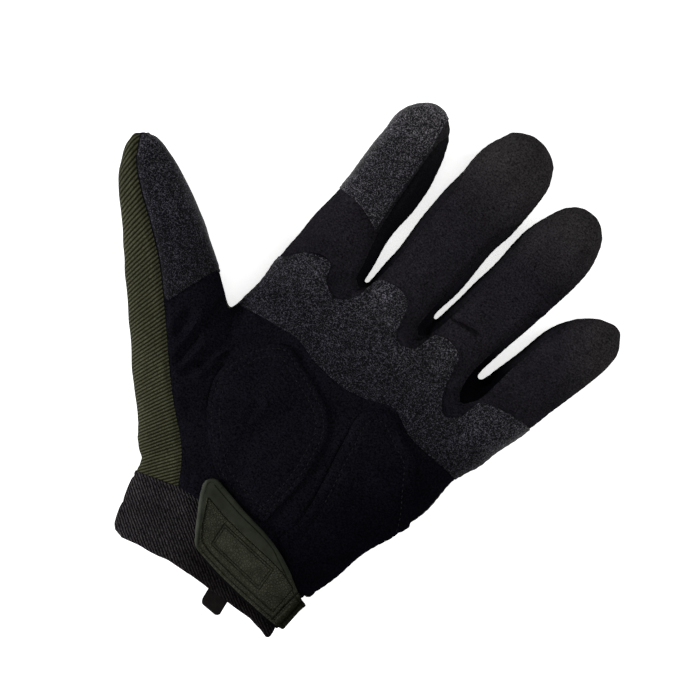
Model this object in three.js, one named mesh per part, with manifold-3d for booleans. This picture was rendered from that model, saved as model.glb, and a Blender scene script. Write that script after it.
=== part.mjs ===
// A mechanic's glove for the left hand, lying on its back with the palm up.
// Millimetres, +Z up. It lies on z = 0, +Y points along the fingers, +X towards the
// little finger, and the origin is under the middle of the palm.
import * as THREE from "three";
import { LoftGeometry } from "three/addons/geometries/LoftGeometry.js";
import { mergeVertices } from "three/addons/utils/BufferGeometryUtils.js";
import Module from "manifold-3d";

const wasm = await Module();
wasm.setup();

// Cloth and gaps
const PANEL_WALL = 1.8;
const CUFF_WALL = 2.0;
const SEAM_GAP = 0.3;
const PATCH_THICKNESS = 0.8;
const PAD_THICKNESS = 1.4;
const STRAP_THICKNESS = 1.2;

// Closure tab of moulded rubber
const TAB_THICKNESS = 2.4;
const TAB_RECESS = 0.8;
const TAB_CORNER = 3.5;
const TAB_BACK_END_X = 22;
const STRAP_BACK_END_X = 8;
const TAB_BAND = { low: -104.3, high: -91.2 };
const TAB_RIBS = { x: [41.5, 44.5], width: 1.4, height: 0.7 };

// Folded tape at the cuff's edge
const TAPE = { left: 17.4, right: 26.8, thickness: 0.9, slit: 1.0, top: 22.8, inside: -101, end: -115.8 };

// Where the hand panels end and the cuff starts: a line seen from above that rises to the right
const WRIST = { y: -88, slope: 0.0244 };

// The side of the glove: what wraps round it reaches from here up to the palm side's pieces
const WRAP = { palmFrom: 15, roundTo: 16 };

// A piece laid on the palm side stops this far above the side seam
const OVERLAY_HEM = 1.5;

// The least half width of a tube's end, and the share of a tube's sides that its hollow has
const TIP_HALF = 0.6;
const HOLLOW_SIDES = 0.7;

const TALL = 80;
const FAR = 160;

// Each tube of the hand has a root point, a heading clockwise from +Y, and sections:
// [distance along, left edge, right edge, underside, upper side]
const TUBES = {
  palm: {
    root: [0, 0],
    heading: 0,
    squareness: 2.6,
    sides: 24,
    sections: [
      [-104, -32, 49.5, 5, 25.6],
      [-88, -36, 49.8, 3.6, 26.4],
      [-78, -39, 51.2, 0.6, 27.4],
      [-62, -41.5, 55, -1.2, 28.2],
      [-46, -43.8, 59.8, -1.6, 28.4],
      [-30, -46.4, 64.8, -1.6, 28],
      [-14, -46.8, 65, -1.5, 27.4],
      [2, -44.6, 69.8, -1.3, 26.6],
      [13, -45.4, 71.8, -0.8, 25.4],
      [20, -44, 72, 0.8, 23.6],
      [24.2, -40, 68, 4, 20.5],
    ],
  },
  index: {
    root: [0, 0],
    heading: 0,
    squareness: 2.3,
    sides: 14,
    sections: [
      [0, -44, -16, 3, 22],
      [14, -45.7, -13.6, 1, 24.4],
      [26, -46, -13.8, 0.6, 24.2],
      [44, -44.6, -16.4, 1, 22.6],
      [60, -44.9, -16.5, 1.8, 22.2],
      [75, -45.9, -18.4, 3.4, 22.4],
      [86, -45.8, -21.8, 5.6, 22],
      [91.4, -43, -24.8, 8, 20.6],
      [95, -39, -28.6, 11, 18.4],
      [96.6, -36, -32, 13.6, 16.4],
    ],
  },
  middle: {
    root: [0, 0],
    heading: 0,
    squareness: 2.3,
    sides: 14,
    sections: [
      [0, -11, 15, 3, 24],
      [14, -13, 17.2, 1, 25.4],
      [26, -12.6, 17, 0.6, 24.6],
      [44, -11.5, 18, 1, 23],
      [62, -12, 18.2, 2, 22.6],
      [80, -12.1, 20.2, 3.8, 23.2],
      [96, -10.6, 20.1, 6.2, 23.8],
      [104, -8, 17.8, 9, 23],
      [110, -4.2, 13, 12, 20.6],
      [112.4, 1, 7.6, 14.6, 17.8],
    ],
  },
  ring: {
    root: [0, 0],
    heading: 0,
    squareness: 2.3,
    sides: 14,
    sections: [
      [0, 19, 44, 3, 23],
      [14, 17, 46, 1, 24.8],
      [26, 17.2, 45.7, 0.6, 24.2],
      [44, 20.4, 48, 1, 22.6],
      [60, 21, 50.1, 2, 22.4],
      [76, 22.1, 52.6, 3.6, 22.8],
      [90, 24.9, 52.2, 6, 23],
      [98, 29, 48, 9.4, 21.4],
      [102.8, 35, 42, 13, 18],
    ],
  },
  little: {
    root: [55, 0],
    heading: 18,
    squareness: 2.3,
    sides: 14,
    sections: [
      [-12, -12, 11, 3, 20],
      [0, -13, 14, 1, 23.4],
      [12, -14.6, 12.9, 0.6, 23.8],
      [26, -15.4, 12.3, 0.8, 22.6],
      [42, -16.1, 11.5, 1.4, 21.6],
      [56, -16.4, 9.6, 3, 21.6],
      [68, -14.2, 8.1, 5.2, 21.2],
      [75, -10, 4.8, 8.4, 19.6],
      [78.8, -5, -0.8, 12, 16.4],
    ],
  },
  thumb: {
    root: [-40, -62],
    heading: -50,
    squareness: 2.4,
    sides: 16,
    sections: [
      [-26, -15, 12, 3, 22],
      [-14, -16.8, 19, 1.2, 25.4],
      [0, -14.8, 24, 0.6, 27],
      [18, -13.5, 27.8, 1.2, 27.4],
      [36, -12, 28.6, 2.2, 26.2],
      [54, -9.8, 27, 2.4, 25],
      [72, -8.6, 23.9, 3, 24.2],
      [88, -7.4, 19.5, 4.6, 22.6],
      [100, -4.4, 15.2, 6.8, 20.6],
      [107, 0, 10.6, 9.8, 18.2],
      [109.6, 3.6, 7, 12.8, 15.6],
    ],
  },
};

const CUFF_TUBE = {
  root: [0, 0],
  heading: 0,
  squareness: 2.5,
  sides: 24,
  sections: [
    [-82, -36, 49.6, 4.2, 26.4],
    [-90, -35, 47.8, 4.6, 26.2],
    [-100, -32, 46.8, 5, 25.8],
    [-110, -29.2, 47.4, 5.2, 25.6],
    [-122, -24.6, 48.6, 5.2, 25.6],
  ].reverse(),
};

// Soft folds at the root of the thumb: [from x, from y, to x, to y]
const THUMB_FOLDS = [
  [-39, -27, -42, -52],
  [-46, -25, -48.5, -50],
  [-54.5, -22, -56, -45],
];
const FOLD = { width: 7, rise: 1.1, depth: 5, sides: 8, stations: [0, 0.3, 0.7, 1] };

// Height of the seam between the palm side and the back: [y, height]
const SIDE_SEAM = [
  [-130, 13.5],
  [-88, 14],
  [-20, 15],
  [12, 12.5],
  [32, 8],
  [62, 8],
  [88, 11],
  [116, 14.5],
];

// Seam along the top of the thumb, from the wrist to the tip, seen from above
const THUMB_SEAM = [
  [-15.5, -92],
  [-16.5, -86],
  [-30, -70.5],
  [-50, -51.5],
  [-70, -31.5],
  [-82, -20.5],
  [-95, -11],
  [-104, -5],
  [-113.6, 3],
  [-119.4, 12],
];

// Outlines seen from above, [x, y]
const THUMB_BACK_OUTER = [
  [-126, 22],
  [-140, 10],
  [-130, -40],
  [-60, -110],
  [-15.5, -110],
];
const THUMB_FRONT_INNER = [
  [-112, 26],
  [-70, 14],
  [-47, -8],
  [-49.5, -16.5],
  [-66, -40],
];
const INDEX_MIDDLE_STRIP = [
  [-19, 21.5],
  [-17.2, 30],
  [-21.5, 44],
  [-24, 62],
  [-25.6, 80],
  [-27.6, 93],
  [-30, 104],
  [-3, 118],
  [-7.4, 100],
  [-9.2, 86],
  [-9.2, 44],
  [-9.6, 21.5],
];
const MIDDLE_RING_STRIP = [
  [14, 21.5],
  [15, 44],
  [15.6, 66],
  [17.4, 92],
  [14.6, 112],
  [34, 108],
  [28, 90],
  [24.6, 70],
  [23.6, 44],
  [20.6, 21.5],
];
const RING_LITTLE_STRIP = [
  [42.4, 18],
  [44.8, 40],
  [48.4, 66],
  [49.6, 84],
  [46, 100],
  [60, 96],
  [67.6, 72],
  [61.6, 62],
  [55.8, 44],
  [50.4, 27],
  [49.6, 18],
];
const PALM_GRIP = [
  [-56, -14],
  [-30, -11.5],
  [-18, -10],
  [-8, -12.5],
  [8, -13],
  [18, -10.5],
  [28, -6.5],
  [40, -11],
  [60, -12],
  [80, -12],
  [80, 20],
  [54, 18],
  [50.5, 8],
  [45.5, 4],
  [40, 9],
  [37, 18],
  [34.5, 26],
  [28, 28],
  [22, 26],
  [19.6, 17.5],
  [14.5, 14.5],
  [10, 16.5],
  [8, 23],
  [5, 29.5],
  [-3, 31],
  [-9.6, 28],
  [-11.6, 18],
  [-17.5, 12],
  [-25, 15],
  [-29, 22],
  [-38, 20.5],
  [-52, 15],
];
const INDEX_GRIP = [
  [-52, 47],
  [-44, 47],
  [-34, 46.6],
  [-27, 44.6],
  [-22.8, 42.6],
  [-25, 62],
  [-26.6, 80],
  [-28.8, 93],
  [-31, 106],
  [-56, 106],
];
const THUMB_GRIP_INNER = [
  [-110, 30],
  [-70, 22],
  [-54, -4],
  [-61.6, -11],
  [-67.6, -31],
];
const THENAR_PAD = [
  [-29, -22],
  [-20, -14.6],
  [-10, -17.2],
  [2, -21],
  [9, -24.6],
  [14.6, -31],
  [17.6, -42],
  [19, -54],
  [18.4, -66],
  [16.8, -74.4],
  [-7.6, -71.6],
  [-18, -64.6],
  [-26, -57],
  [-32, -48],
  [-34.4, -40],
  [-33, -31],
];
const HEEL_PAD = [
  [19.6, -15.4],
  [21.4, -30],
  [24.6, -44],
  [27.4, -57],
  [28.4, -66],
  [26.6, -75.4],
  [33, -79.4],
  [40, -84.2],
  [47, -86.4],
  [80, -86.4],
  [64, -40],
  [55, -26],
  [48, -17],
  [40, -13.4],
  [28, -9],
];
const LOOP_STRAP = [
  [-4, -79],
  [10, -79.4],
  [26, -81],
  [38, -87],
  [54, -92.4],
  [54, -103.6],
  [46, -106.8],
  [30, -105.6],
  [14, -105],
  [5, -102.6],
  [0, -94],
];
const TAB = [
  [-10.6, -77.6],
  [-7.4, -73.4],
  [10, -75.8],
  [25, -77.8],
  [33, -80.8],
  [41, -86.4],
  [49, -90.4],
  [56, -91.2],
  [56, -104.3],
  [46, -105.6],
  [30, -104.4],
  [17, -102.8],
  [3.6, -100],
];
const TAB_PANEL = [
  [-5.6, -82.2],
  [10, -83.4],
  [30, -86],
  [39, -90],
  [39, -100.8],
  [20, -99.6],
  [4.4, -97],
];
// Bottom edge of the cuff, from the thumb side to the outer side
const CUFF_EDGE = [
  [-40, -118],
  [-27, -116.6],
  [-13, -114.2],
  [0, -111.4],
  [15, -109.4],
  [30, -108],
  [42, -108.2],
  [60, -111],
];

const MATERIALS = {
  suede: new THREE.MeshStandardMaterial({ color: 0x1c1b1f, roughness: 0.95, metalness: 0 }),
  grip: new THREE.MeshStandardMaterial({ color: 0x2b2b30, roughness: 0.6, metalness: 0 }),
  oliveCloth: new THREE.MeshStandardMaterial({ color: 0x3a3b2a, roughness: 0.9, metalness: 0 }),
  cuffKnit: new THREE.MeshStandardMaterial({ color: 0x232224, roughness: 0.9, metalness: 0 }),
  hookLoop: new THREE.MeshStandardMaterial({ color: 0x111113, roughness: 1, metalness: 0 }),
  oliveRubber: new THREE.MeshStandardMaterial({ color: 0x33362b, roughness: 0.55, metalness: 0 }),
  tape: new THREE.MeshStandardMaterial({ color: 0x1a1718, roughness: 0.85, metalness: 0 }),
};

// A closed geometry as a solid that can be joined and cut.
function solid(geometry) {
  const surface = new THREE.BufferGeometry();
  surface.setAttribute("position", geometry.getAttribute("position"));
  surface.setIndex(geometry.index);
  const merged = mergeVertices(surface, 1e-4);
  return new wasm.Manifold(
    new wasm.Mesh({
      numProp: 3,
      vertProperties: merged.attributes.position.array,
      triVerts: new Uint32Array(merged.index.array),
    }),
  );
}

function joined(solids) {
  return solids.reduce((all, one) => all.add(one));
}

// One superellipse section of a tube.
function sectionPoints(tube, row, along, offset, sides) {
  const [, left, right, low, high] = row;
  const turn = THREE.MathUtils.degToRad(tube.heading);
  const halfWidth = Math.max((right - left) / 2 + offset, TIP_HALF);
  const halfDepth = Math.max((high - low) / 2 + offset, TIP_HALF);
  const power = 2 / tube.squareness;
  return Array.from({ length: sides }, (_, k) => {
    const angle = (k / sides) * 2 * Math.PI;
    const across = Math.sign(Math.cos(angle)) * Math.abs(Math.cos(angle)) ** power;
    const up = Math.sign(Math.sin(angle)) * Math.abs(Math.sin(angle)) ** power;
    const side = (left + right) / 2 + halfWidth * across;
    return new THREE.Vector3(
      tube.root[0] + Math.sin(turn) * along + Math.cos(turn) * side,
      tube.root[1] + Math.cos(turn) * along - Math.sin(turn) * side,
      (low + high) / 2 - halfDepth * up,
    );
  });
}

// A tube grown outwards by an offset, or inwards where it is negative: the hollow has fewer sides.
function tubeSolid(tube, offset) {
  const sides = offset < 0 ? Math.round(tube.sides * HOLLOW_SIDES) : tube.sides;
  const first = tube.sections[0][0];
  const reach = tube.sections.at(-1)[0] - first;
  const rings = tube.sections.map((row) => {
    const along = row[0] + (offset * (row[0] - first)) / reach;
    return sectionPoints(tube, row, along, offset, sides);
  });
  return solid(new LoftGeometry(rings, { capStart: true, capEnd: true }));
}

// Height of the glove's upper side at a point seen from above.
function topHeight(x, y) {
  const heights = Object.values(TUBES).map((tube) => {
    const turn = THREE.MathUtils.degToRad(tube.heading);
    const [dx, dy] = [x - tube.root[0], y - tube.root[1]];
    const along = Math.sin(turn) * dx + Math.cos(turn) * dy;
    const side = Math.cos(turn) * dx - Math.sin(turn) * dy;
    const next = tube.sections.findIndex((row) => row[0] > along);
    if (next < 1) return 0;
    const [before, after] = [tube.sections[next - 1], tube.sections[next]];
    const share = (along - before[0]) / (after[0] - before[0]);
    const [, left, right, low, high] = before.map((v, i) => THREE.MathUtils.lerp(v, after[i], share));
    const across = Math.min(Math.abs(side - (left + right) / 2) / ((right - left) / 2), 1);
    const up = (1 - across ** tube.squareness) ** (1 / tube.squareness);
    return (low + high) / 2 + ((high - low) / 2) * up;
  });
  return Math.max(...heights);
}

function foldTube([fromX, fromY, toX, toY]) {
  const length = Math.hypot(toX - fromX, toY - fromY);
  return {
    root: [fromX, fromY],
    heading: THREE.MathUtils.radToDeg(Math.atan2(toX - fromX, toY - fromY)),
    squareness: 2,
    sides: FOLD.sides,
    sections: FOLD.stations.map((t) => {
      const swell = Math.sin(Math.PI * (0.08 + 0.84 * t));
      const spread = (FOLD.width / 2) * (0.4 + 0.6 * swell);
      const top = topHeight(THREE.MathUtils.lerp(fromX, toX, t), THREE.MathUtils.lerp(fromY, toY, t));
      return [t * length, -spread, spread, top - FOLD.depth, top + FOLD.rise * (swell - 0.4)];
    }),
  };
}

// An outline moved outwards by a distance, or inwards where it is negative.
function grown(outline, distance) {
  const points = outline.map(([x, y]) => new THREE.Vector2(x, y));
  const turn = THREE.ShapeUtils.isClockWise(points) ? -1 : 1;
  return points.map((point, i) => {
    const before = points.at(i - 1);
    const after = points[(i + 1) % points.length];
    const one = point.clone().sub(before).normalize();
    const two = after.clone().sub(point).normalize();
    const normal = new THREE.Vector2(one.y + two.y, -one.x - two.x).normalize();
    const stretch = Math.max(normal.dot(new THREE.Vector2(one.y, -one.x)), 0.5);
    return point.clone().addScaledVector(normal, (turn * distance) / stretch);
  });
}

// An outline seen from above, as a tall solid between two heights.
function prism(outline, low, high, distance = 0) {
  const shape = new THREE.Shape(grown(outline, distance));
  const geometry = new THREE.ExtrudeGeometry(shape, { depth: high - low, bevelEnabled: false });
  return solid(geometry.translate(0, 0, low));
}

// The same, with each corner rounded by an arc.
function roundedPrism(outline, radius, low, high, distance = 0) {
  const corners = grown(outline, distance);
  const shape = new THREE.Shape();
  corners.forEach((corner, i) => {
    const before = corners.at(i - 1);
    const after = corners[(i + 1) % corners.length];
    const reachIn = Math.min(radius, corner.distanceTo(before) / 2);
    const reachOut = Math.min(radius, corner.distanceTo(after) / 2);
    const start = corner.clone().lerp(before, reachIn / corner.distanceTo(before));
    const end = corner.clone().lerp(after, reachOut / corner.distanceTo(after));
    if (i === 0) shape.moveTo(start.x, start.y);
    else shape.lineTo(start.x, start.y);
    shape.quadraticCurveTo(corner.x, corner.y, end.x, end.y);
  });
  const geometry = new THREE.ExtrudeGeometry(shape, {
    depth: high - low,
    bevelEnabled: false,
    curveSegments: 2,
  });
  return solid(geometry.translate(0, 0, low));
}

function block(left, right, front, back, low, high) {
  const geometry = new THREE.BoxGeometry(right - left, back - front, high - low);
  geometry.translate((left + right) / 2, (front + back) / 2, (low + high) / 2);
  return solid(geometry);
}

// Everything under the side seam, moved up or down by a distance.
function underSeam(distance) {
  const edge = SIDE_SEAM.map(([y, height]) => [y, height + distance]);
  const outline = [...edge, [FAR, edge.at(-1)[1]], [FAR, -TALL], [-FAR, -TALL], [-FAR, edge[0][1]]];
  const shape = new THREE.Shape(outline.map(([y, z]) => new THREE.Vector2(y, z)));
  const geometry = new THREE.ExtrudeGeometry(shape, { depth: 2 * FAR, bevelEnabled: false });
  const axes = new THREE.Matrix4().makeBasis(
    new THREE.Vector3(0, 1, 0),
    new THREE.Vector3(0, 0, 1),
    new THREE.Vector3(1, 0, 0),
  );
  return solid(geometry.applyMatrix4(axes).translate(-FAR, 0, 0));
}

// The main body of a cut, without the crumbs that a cut leaves along a crease.
function mainBody(shape) {
  return shape.decompose().reduce((best, body) => (body.volume() > best.volume() ? body : best));
}

// What belongs to the back panel: under the side seam, but on the thumb outside its own seam.
function backRegion(distance) {
  const thumbFront = [...THUMB_SEAM.slice(4).map(([x, y]) => [x - 3, y - 3]), ...THUMB_FRONT_INNER];
  const thumbBack = [...THUMB_SEAM, ...THUMB_BACK_OUTER];
  return underSeam(distance)
    .subtract(prism(thumbFront, -TALL, TALL, -distance))
    .add(prism(thumbBack, -TALL, TALL, distance));
}

const WRIST_LINE = [
  [-FAR, WRIST.y - FAR * WRIST.slope],
  [FAR, WRIST.y + FAR * WRIST.slope],
];
const HAND_SPAN = [...WRIST_LINE, [FAR, FAR], [-FAR, FAR]];

// The hand as one outer form: palm, fingers, thumb and the folds at its root.
function handForm(offset, withFolds) {
  const tubes = Object.values(TUBES).map((tube) => tubeSolid(tube, offset));
  const folds = withFolds ? THUMB_FOLDS.map((fold) => tubeSolid(foldTube(fold), offset)) : [];
  return joined([...tubes, ...folds]);
}

function cuffForm(offset) {
  return tubeSolid(CUFF_TUBE, offset);
}

// Hand and cuff together, for what lies on both.
function gloveForm(offset) {
  const hand = handForm(offset, true).intersect(prism(HAND_SPAN, -TALL, TALL));
  return hand.add(cuffForm(offset));
}

// A skin over a form, between two heights above it.
function skin(form, lift, thickness) {
  return form(lift + thickness).subtract(form(lift));
}

const outerHand = (offset) => handForm(offset, true);
const aboveFloor = block(-FAR, FAR, -FAR, FAR, 0, TALL);
const handShell = handForm(0, true)
  .intersect(aboveFloor)
  .subtract(handForm(-PANEL_WALL, false).intersect(block(-FAR, FAR, -FAR, FAR, PANEL_WALL, TALL)))
  .intersect(prism(HAND_SPAN, -TALL, TALL, -SEAM_GAP / 2));

const half = SEAM_GAP / 2;
const STRIPS = {
  fourchette_index_middle: INDEX_MIDDLE_STRIP,
  fourchette_middle_ring: MIDDLE_RING_STRIP,
  fourchette_ring_little: RING_LITTLE_STRIP,
};

function backPanel() {
  return handShell.intersect(backRegion(-half));
}

function palmPanel() {
  const strips = Object.values(STRIPS).map((strip) => prism(strip, -TALL, TALL, half));
  return handShell.subtract(backRegion(half)).subtract(joined(strips));
}

function fourchette(strip) {
  return handShell.intersect(prism(strip, -TALL, TALL, -half)).subtract(underSeam(half));
}

// A thin piece laid on the palm side, cut to an outline.
function palmOverlay(outline, thickness, radius) {
  return skin(outerHand, SEAM_GAP, thickness)
    .intersect(roundedPrism(outline, radius, 0, TALL))
    .subtract(underSeam(OVERLAY_HEM));
}

// The thumb's grip lies on both sides of its edge, beyond its slanted lower border.
function thumbGrip() {
  const seam = THUMB_SEAM.slice(4).map(([x, y]) => [x + 0.6, y + 0.6]);
  const outline = [...seam, ...THUMB_GRIP_INNER];
  return skin(outerHand, SEAM_GAP, PATCH_THICKNESS)
    .intersect(prism(outline, -TALL, TALL))
    .intersect(aboveFloor);
}

function cuffBand() {
  const span = [...CUFF_EDGE, ...WRIST_LINE.toReversed()];
  return cuffForm(0)
    .subtract(cuffForm(-CUFF_WALL).intersect(block(-FAR, FAR, -FAR, FAR, 0, TALL)))
    .intersect(prism(span, -TALL, TALL, -half));
}

// The strap under the tab: on the palm side, round the outer side and on to the back.
function closureStrap() {
  const onPalm = prism(LOOP_STRAP, WRAP.palmFrom, TALL);
  const round = block(STRAP_BACK_END_X, FAR, TAB_BAND.low + 1, TAB_BAND.high - 1, -TALL, WRAP.roundTo);
  return skin(gloveForm, SEAM_GAP, STRAP_THICKNESS).intersect(onPalm.add(round));
}

function closureTab() {
  const seat = 2 * SEAM_GAP + STRAP_THICKNESS;
  const onPalm = roundedPrism(TAB, TAB_CORNER, WRAP.palmFrom, TALL);
  const round = block(TAB_BACK_END_X, FAR, TAB_BAND.low, TAB_BAND.high, -TALL, WRAP.roundTo);
  const recess = skin(gloveForm, seat + TAB_THICKNESS - TAB_RECESS, 2 * TAB_THICKNESS)
    .intersect(roundedPrism(TAB_PANEL, TAB_CORNER / 2, WRAP.palmFrom, TALL));
  const ribs = TAB_RIBS.x.map((x) =>
    skin(gloveForm, seat, TAB_THICKNESS + TAB_RIBS.height).intersect(
      block(x, x + TAB_RIBS.width, TAB_BAND.low + 1, TAB_BAND.high - 1, WRAP.palmFrom, TALL),
    ),
  );
  return joined([
    skin(gloveForm, seat, TAB_THICKNESS).intersect(onPalm.add(round)).subtract(recess),
    ...ribs,
  ]);
}

// Tape folded back on itself, with its legs inside the palm side of the cuff.
function pullTab() {
  const { left, right, thickness, slit, top, inside, end } = TAPE;
  const radius = thickness + slit / 2;
  const middle = top - radius;
  const loop = new THREE.Shape();
  loop.moveTo(inside, middle + radius);
  loop.lineTo(end + radius, middle + radius);
  loop.absarc(end + radius, middle, radius, Math.PI / 2, -Math.PI / 2);
  loop.lineTo(inside, middle - radius);
  loop.lineTo(inside, middle - slit / 2);
  loop.lineTo(end + radius, middle - slit / 2);
  loop.absarc(end + radius, middle, slit / 2, -Math.PI / 2, Math.PI / 2, true);
  loop.lineTo(inside, middle + slit / 2);
  const geometry = new THREE.ExtrudeGeometry(loop, {
    depth: right - left,
    bevelEnabled: false,
    curveSegments: 6,
  });
  const axes = new THREE.Matrix4().makeBasis(
    new THREE.Vector3(0, 1, 0),
    new THREE.Vector3(0, 0, 1),
    new THREE.Vector3(1, 0, 0),
  );
  return solid(geometry.applyMatrix4(axes).translate(left, 0, 0));
}

const glove = new THREE.Group();
glove.name = "mechanic_glove";

function piece(name, shape, material) {
  const { numProp, vertProperties, triVerts } = mainBody(shape).getMesh();
  const geometry = new THREE.BufferGeometry();
  geometry.setAttribute("position", new THREE.BufferAttribute(vertProperties, numProp));
  geometry.setIndex(new THREE.BufferAttribute(triVerts, 1));
  geometry.computeVertexNormals();
  const mesh = new THREE.Mesh(geometry, material);
  mesh.name = name;
  glove.add(mesh);
}

piece("palm_panel", palmPanel(), MATERIALS.suede);
piece("back_panel", backPanel(), MATERIALS.oliveCloth);
for (const [name, strip] of Object.entries(STRIPS)) {
  piece(name, fourchette(strip), MATERIALS.suede);
}
piece("palm_grip_patch", palmOverlay(PALM_GRIP, PATCH_THICKNESS, 3), MATERIALS.grip);
piece("index_grip_patch", palmOverlay(INDEX_GRIP, PATCH_THICKNESS, 1), MATERIALS.grip);
piece("thumb_grip_patch", thumbGrip(), MATERIALS.grip);
piece("thenar_pad", palmOverlay(THENAR_PAD, PAD_THICKNESS, 4), MATERIALS.suede);
piece("heel_pad", palmOverlay(HEEL_PAD, PAD_THICKNESS, 3), MATERIALS.suede);
piece("cuff_band", cuffBand(), MATERIALS.cuffKnit);
piece("closure_strap", closureStrap(), MATERIALS.hookLoop);
piece("closure_tab", closureTab(), MATERIALS.oliveRubber);
piece("pull_tab", pullTab(), MATERIALS.tape);

export default glove;
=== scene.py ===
# A mechanic's glove for the left hand, lying on its back with the palm up, on a pale table.
# Tables are in millimetres in the glove's own frame: +Y along the fingers, +X towards the
# little finger, +Z up out of the palm.
import math
import random
from contextlib import contextmanager

import bmesh
import bpy
import numpy as np
from mathutils import Matrix, Vector
from mathutils.bvhtree import BVHTree


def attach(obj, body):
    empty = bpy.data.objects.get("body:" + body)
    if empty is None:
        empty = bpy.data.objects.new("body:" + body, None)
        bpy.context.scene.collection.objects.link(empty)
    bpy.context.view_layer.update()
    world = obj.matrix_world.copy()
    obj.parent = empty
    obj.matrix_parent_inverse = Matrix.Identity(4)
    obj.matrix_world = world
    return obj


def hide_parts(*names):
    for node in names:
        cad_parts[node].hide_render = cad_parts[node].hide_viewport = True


MM = 0.001
TALL = 80
FAR = 160

# Cloth: how fine and smooth its outer and inner surfaces are, how thick its wall is, and the gap
# left in a seam
CLOTH = {"voxel": 0.75, "smoothing": 10}
HOLLOW = {"voxel": 2.0, "smoothing": 2}
CLOTH_WALL = 2.5
FLOOR_WALL = 1.7
SEAM_GAP = 0.1
ROW_STEP = 3.0
TUBE_SIDES = 48
LEAST_HALF = 0.6

# What is laid on the palm side, and the dip along its stitching
PATCH = {"lift": 0.05, "thickness": 0.65, "edge": 0.9}
PAD = {"lift": 0.06, "thickness": 1.5, "edge": 1.6}
EDGE_SHARE = 0.35
OVERLAY_HEM = 1.5
ROW_DIP = {"depth": 0.32, "width": 0.85}

# Stitch rows: how far inside each overlay's edge, and how far under the top of the cuff
GRIP_ROWS = (1.3,)
THENAR_ROWS = (2.0, 5.0)
HEEL_ROWS = (4.6,)
CUFF_ROW = 2.2
STITCH = {"ahead": 0.3, "steepest": 0.3, "gap": 0.8, "sway": 0.12, "flatness": 0.8}

# Each tube of the hand: root, heading clockwise from +Y, squareness of its section, and rows of
# [distance along, left edge, right edge, underside, upper side]
TUBES = {
    "palm": ((0, 0), 0, 2.6, [
        [-104, -31.4, 49.5, 5, 25.6], [-88, -35.2, 49.8, 3.6, 26.4], [-78, -39, 51.2, 0.6, 27.4],
        [-62, -41.5, 55, -1.2, 28.2], [-46, -43.8, 59.8, -1.6, 28.4], [-30, -46.4, 64.8, -1.6, 28],
        [-14, -46.8, 65, -1.5, 27.4], [2, -44.6, 69.8, -1.3, 26.6], [13, -45.4, 71.8, -0.8, 25.4],
        [20, -44, 72, 0.8, 23.6], [24.2, -40, 68, 4, 20.5],
    ]),
    "index": ((0, 0), 0, 2.3, [
        [0, -44, -16, 3, 22], [14, -45.7, -13.6, 1, 24.4], [26, -46, -13.8, 0.6, 24.2],
        [44, -44.6, -16.4, 1, 22.6], [60, -44.9, -16.5, 1.8, 22.2], [75, -45.9, -18.4, 3.4, 22.4],
        [86, -45.8, -21.8, 5.6, 22], [91.4, -43, -24.8, 8, 20.6], [95, -39, -28.6, 11, 18.4],
        [96.6, -36, -32, 13.6, 16.4],
    ]),
    "middle": ((0, 0), 0, 2.3, [
        [0, -11, 15, 3, 24], [14, -12.4, 17.4, 1, 25.4], [26, -11.6, 17.4, 0.6, 24.6],
        [34, -11.6, 16.8, 0.7, 23.8], [44, -11.5, 17.6, 1, 23], [62, -12, 18.6, 2, 22.6],
        [80, -11.9, 20, 3.8, 23.2], [96, -10.6, 20.1, 6.2, 23.8], [104, -8, 17.8, 9, 23],
        [110, -4.2, 13, 12, 20.6], [112.4, 1, 7.6, 14.6, 17.8],
    ]),
    "ring": ((0, 0), 0, 2.3, [
        [0, 19, 44, 3, 23], [14, 17, 46, 1, 24.8], [26, 17.1, 45.7, 0.6, 24.2],
        [34, 19.2, 46.5, 0.7, 23.4], [44, 20.7, 48, 1, 22.6], [60, 21.6, 50.1, 2, 22.4],
        [76, 22.6, 52.6, 3.6, 22.8], [90, 25, 52.2, 6, 23], [97.4, 28.4, 49.4, 9.2, 21.6],
        [101.6, 32.4, 45.2, 12, 19.6], [103.2, 35.8, 41.6, 13.6, 17.6],
    ]),
    "little": ((55, 0), 18, 2.3, [
        [-12, -12, 11, 3, 20], [0, -13, 14, 1, 23.4], [12, -14.6, 12.9, 0.6, 23.8],
        [26, -14.7, 12.3, 0.8, 22.6], [42, -15.5, 11.5, 1.4, 21.6], [56, -16.4, 9.6, 3, 21.6],
        [68, -14.2, 8.1, 5.2, 21.2], [75, -10, 4.8, 8.4, 19.6], [78.8, -5, -0.8, 12, 16.4],
    ]),
    "thumb": ((-40, -62), -50, 2.4, [
        [-26, -15, 12, 3, 22], [-14, -16.8, 19, 1.2, 25.4], [0, -14.8, 24, 0.6, 27],
        [18, -13.5, 27.8, 1.2, 27.4], [36, -12, 28.6, 2.2, 26.2], [54, -9.8, 27, 2.4, 25],
        [72, -8.6, 23.9, 3, 24.2], [88, -7.4, 19.5, 4.6, 22.6], [100, -4.4, 15.2, 6.8, 20.6],
        [107, 0, 10.6, 9.8, 18.2], [109.6, 3.6, 7, 12.8, 15.6],
    ]),
}
CUFF_TUBE = ((0, 0), 0, 2.5, [
    [-122, -24.2, 48.4, 5.2, 25.6], [-110, -28.4, 48.6, 5.2, 25.6], [-104, -30.8, 48.2, 5.1, 25.7],
    [-98, -33, 48, 5, 25.8], [-90, -35.2, 48.5, 4.6, 26.2], [-82, -36, 49.2, 4.2, 26.4],
])
# Cuff: its wall, its mesh, and the first guess of y and the rounds that settle its slanting rings
CUFF = {"wall": 2.0, "sides": 220, "rings": 30, "hem": 5, "guess": -100.0, "rounds": 3}
CUFF_EDGE = [
    [-40, -108], [-30.4, -111], [-25.8, -115], [-22, -115.6], [-12.8, -112.6], [-2.3, -110.2],
    [6, -109.3], [16, -108.6], [28, -107.5], [38, -107.1], [44, -107.9], [60, -111.6],
]
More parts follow.
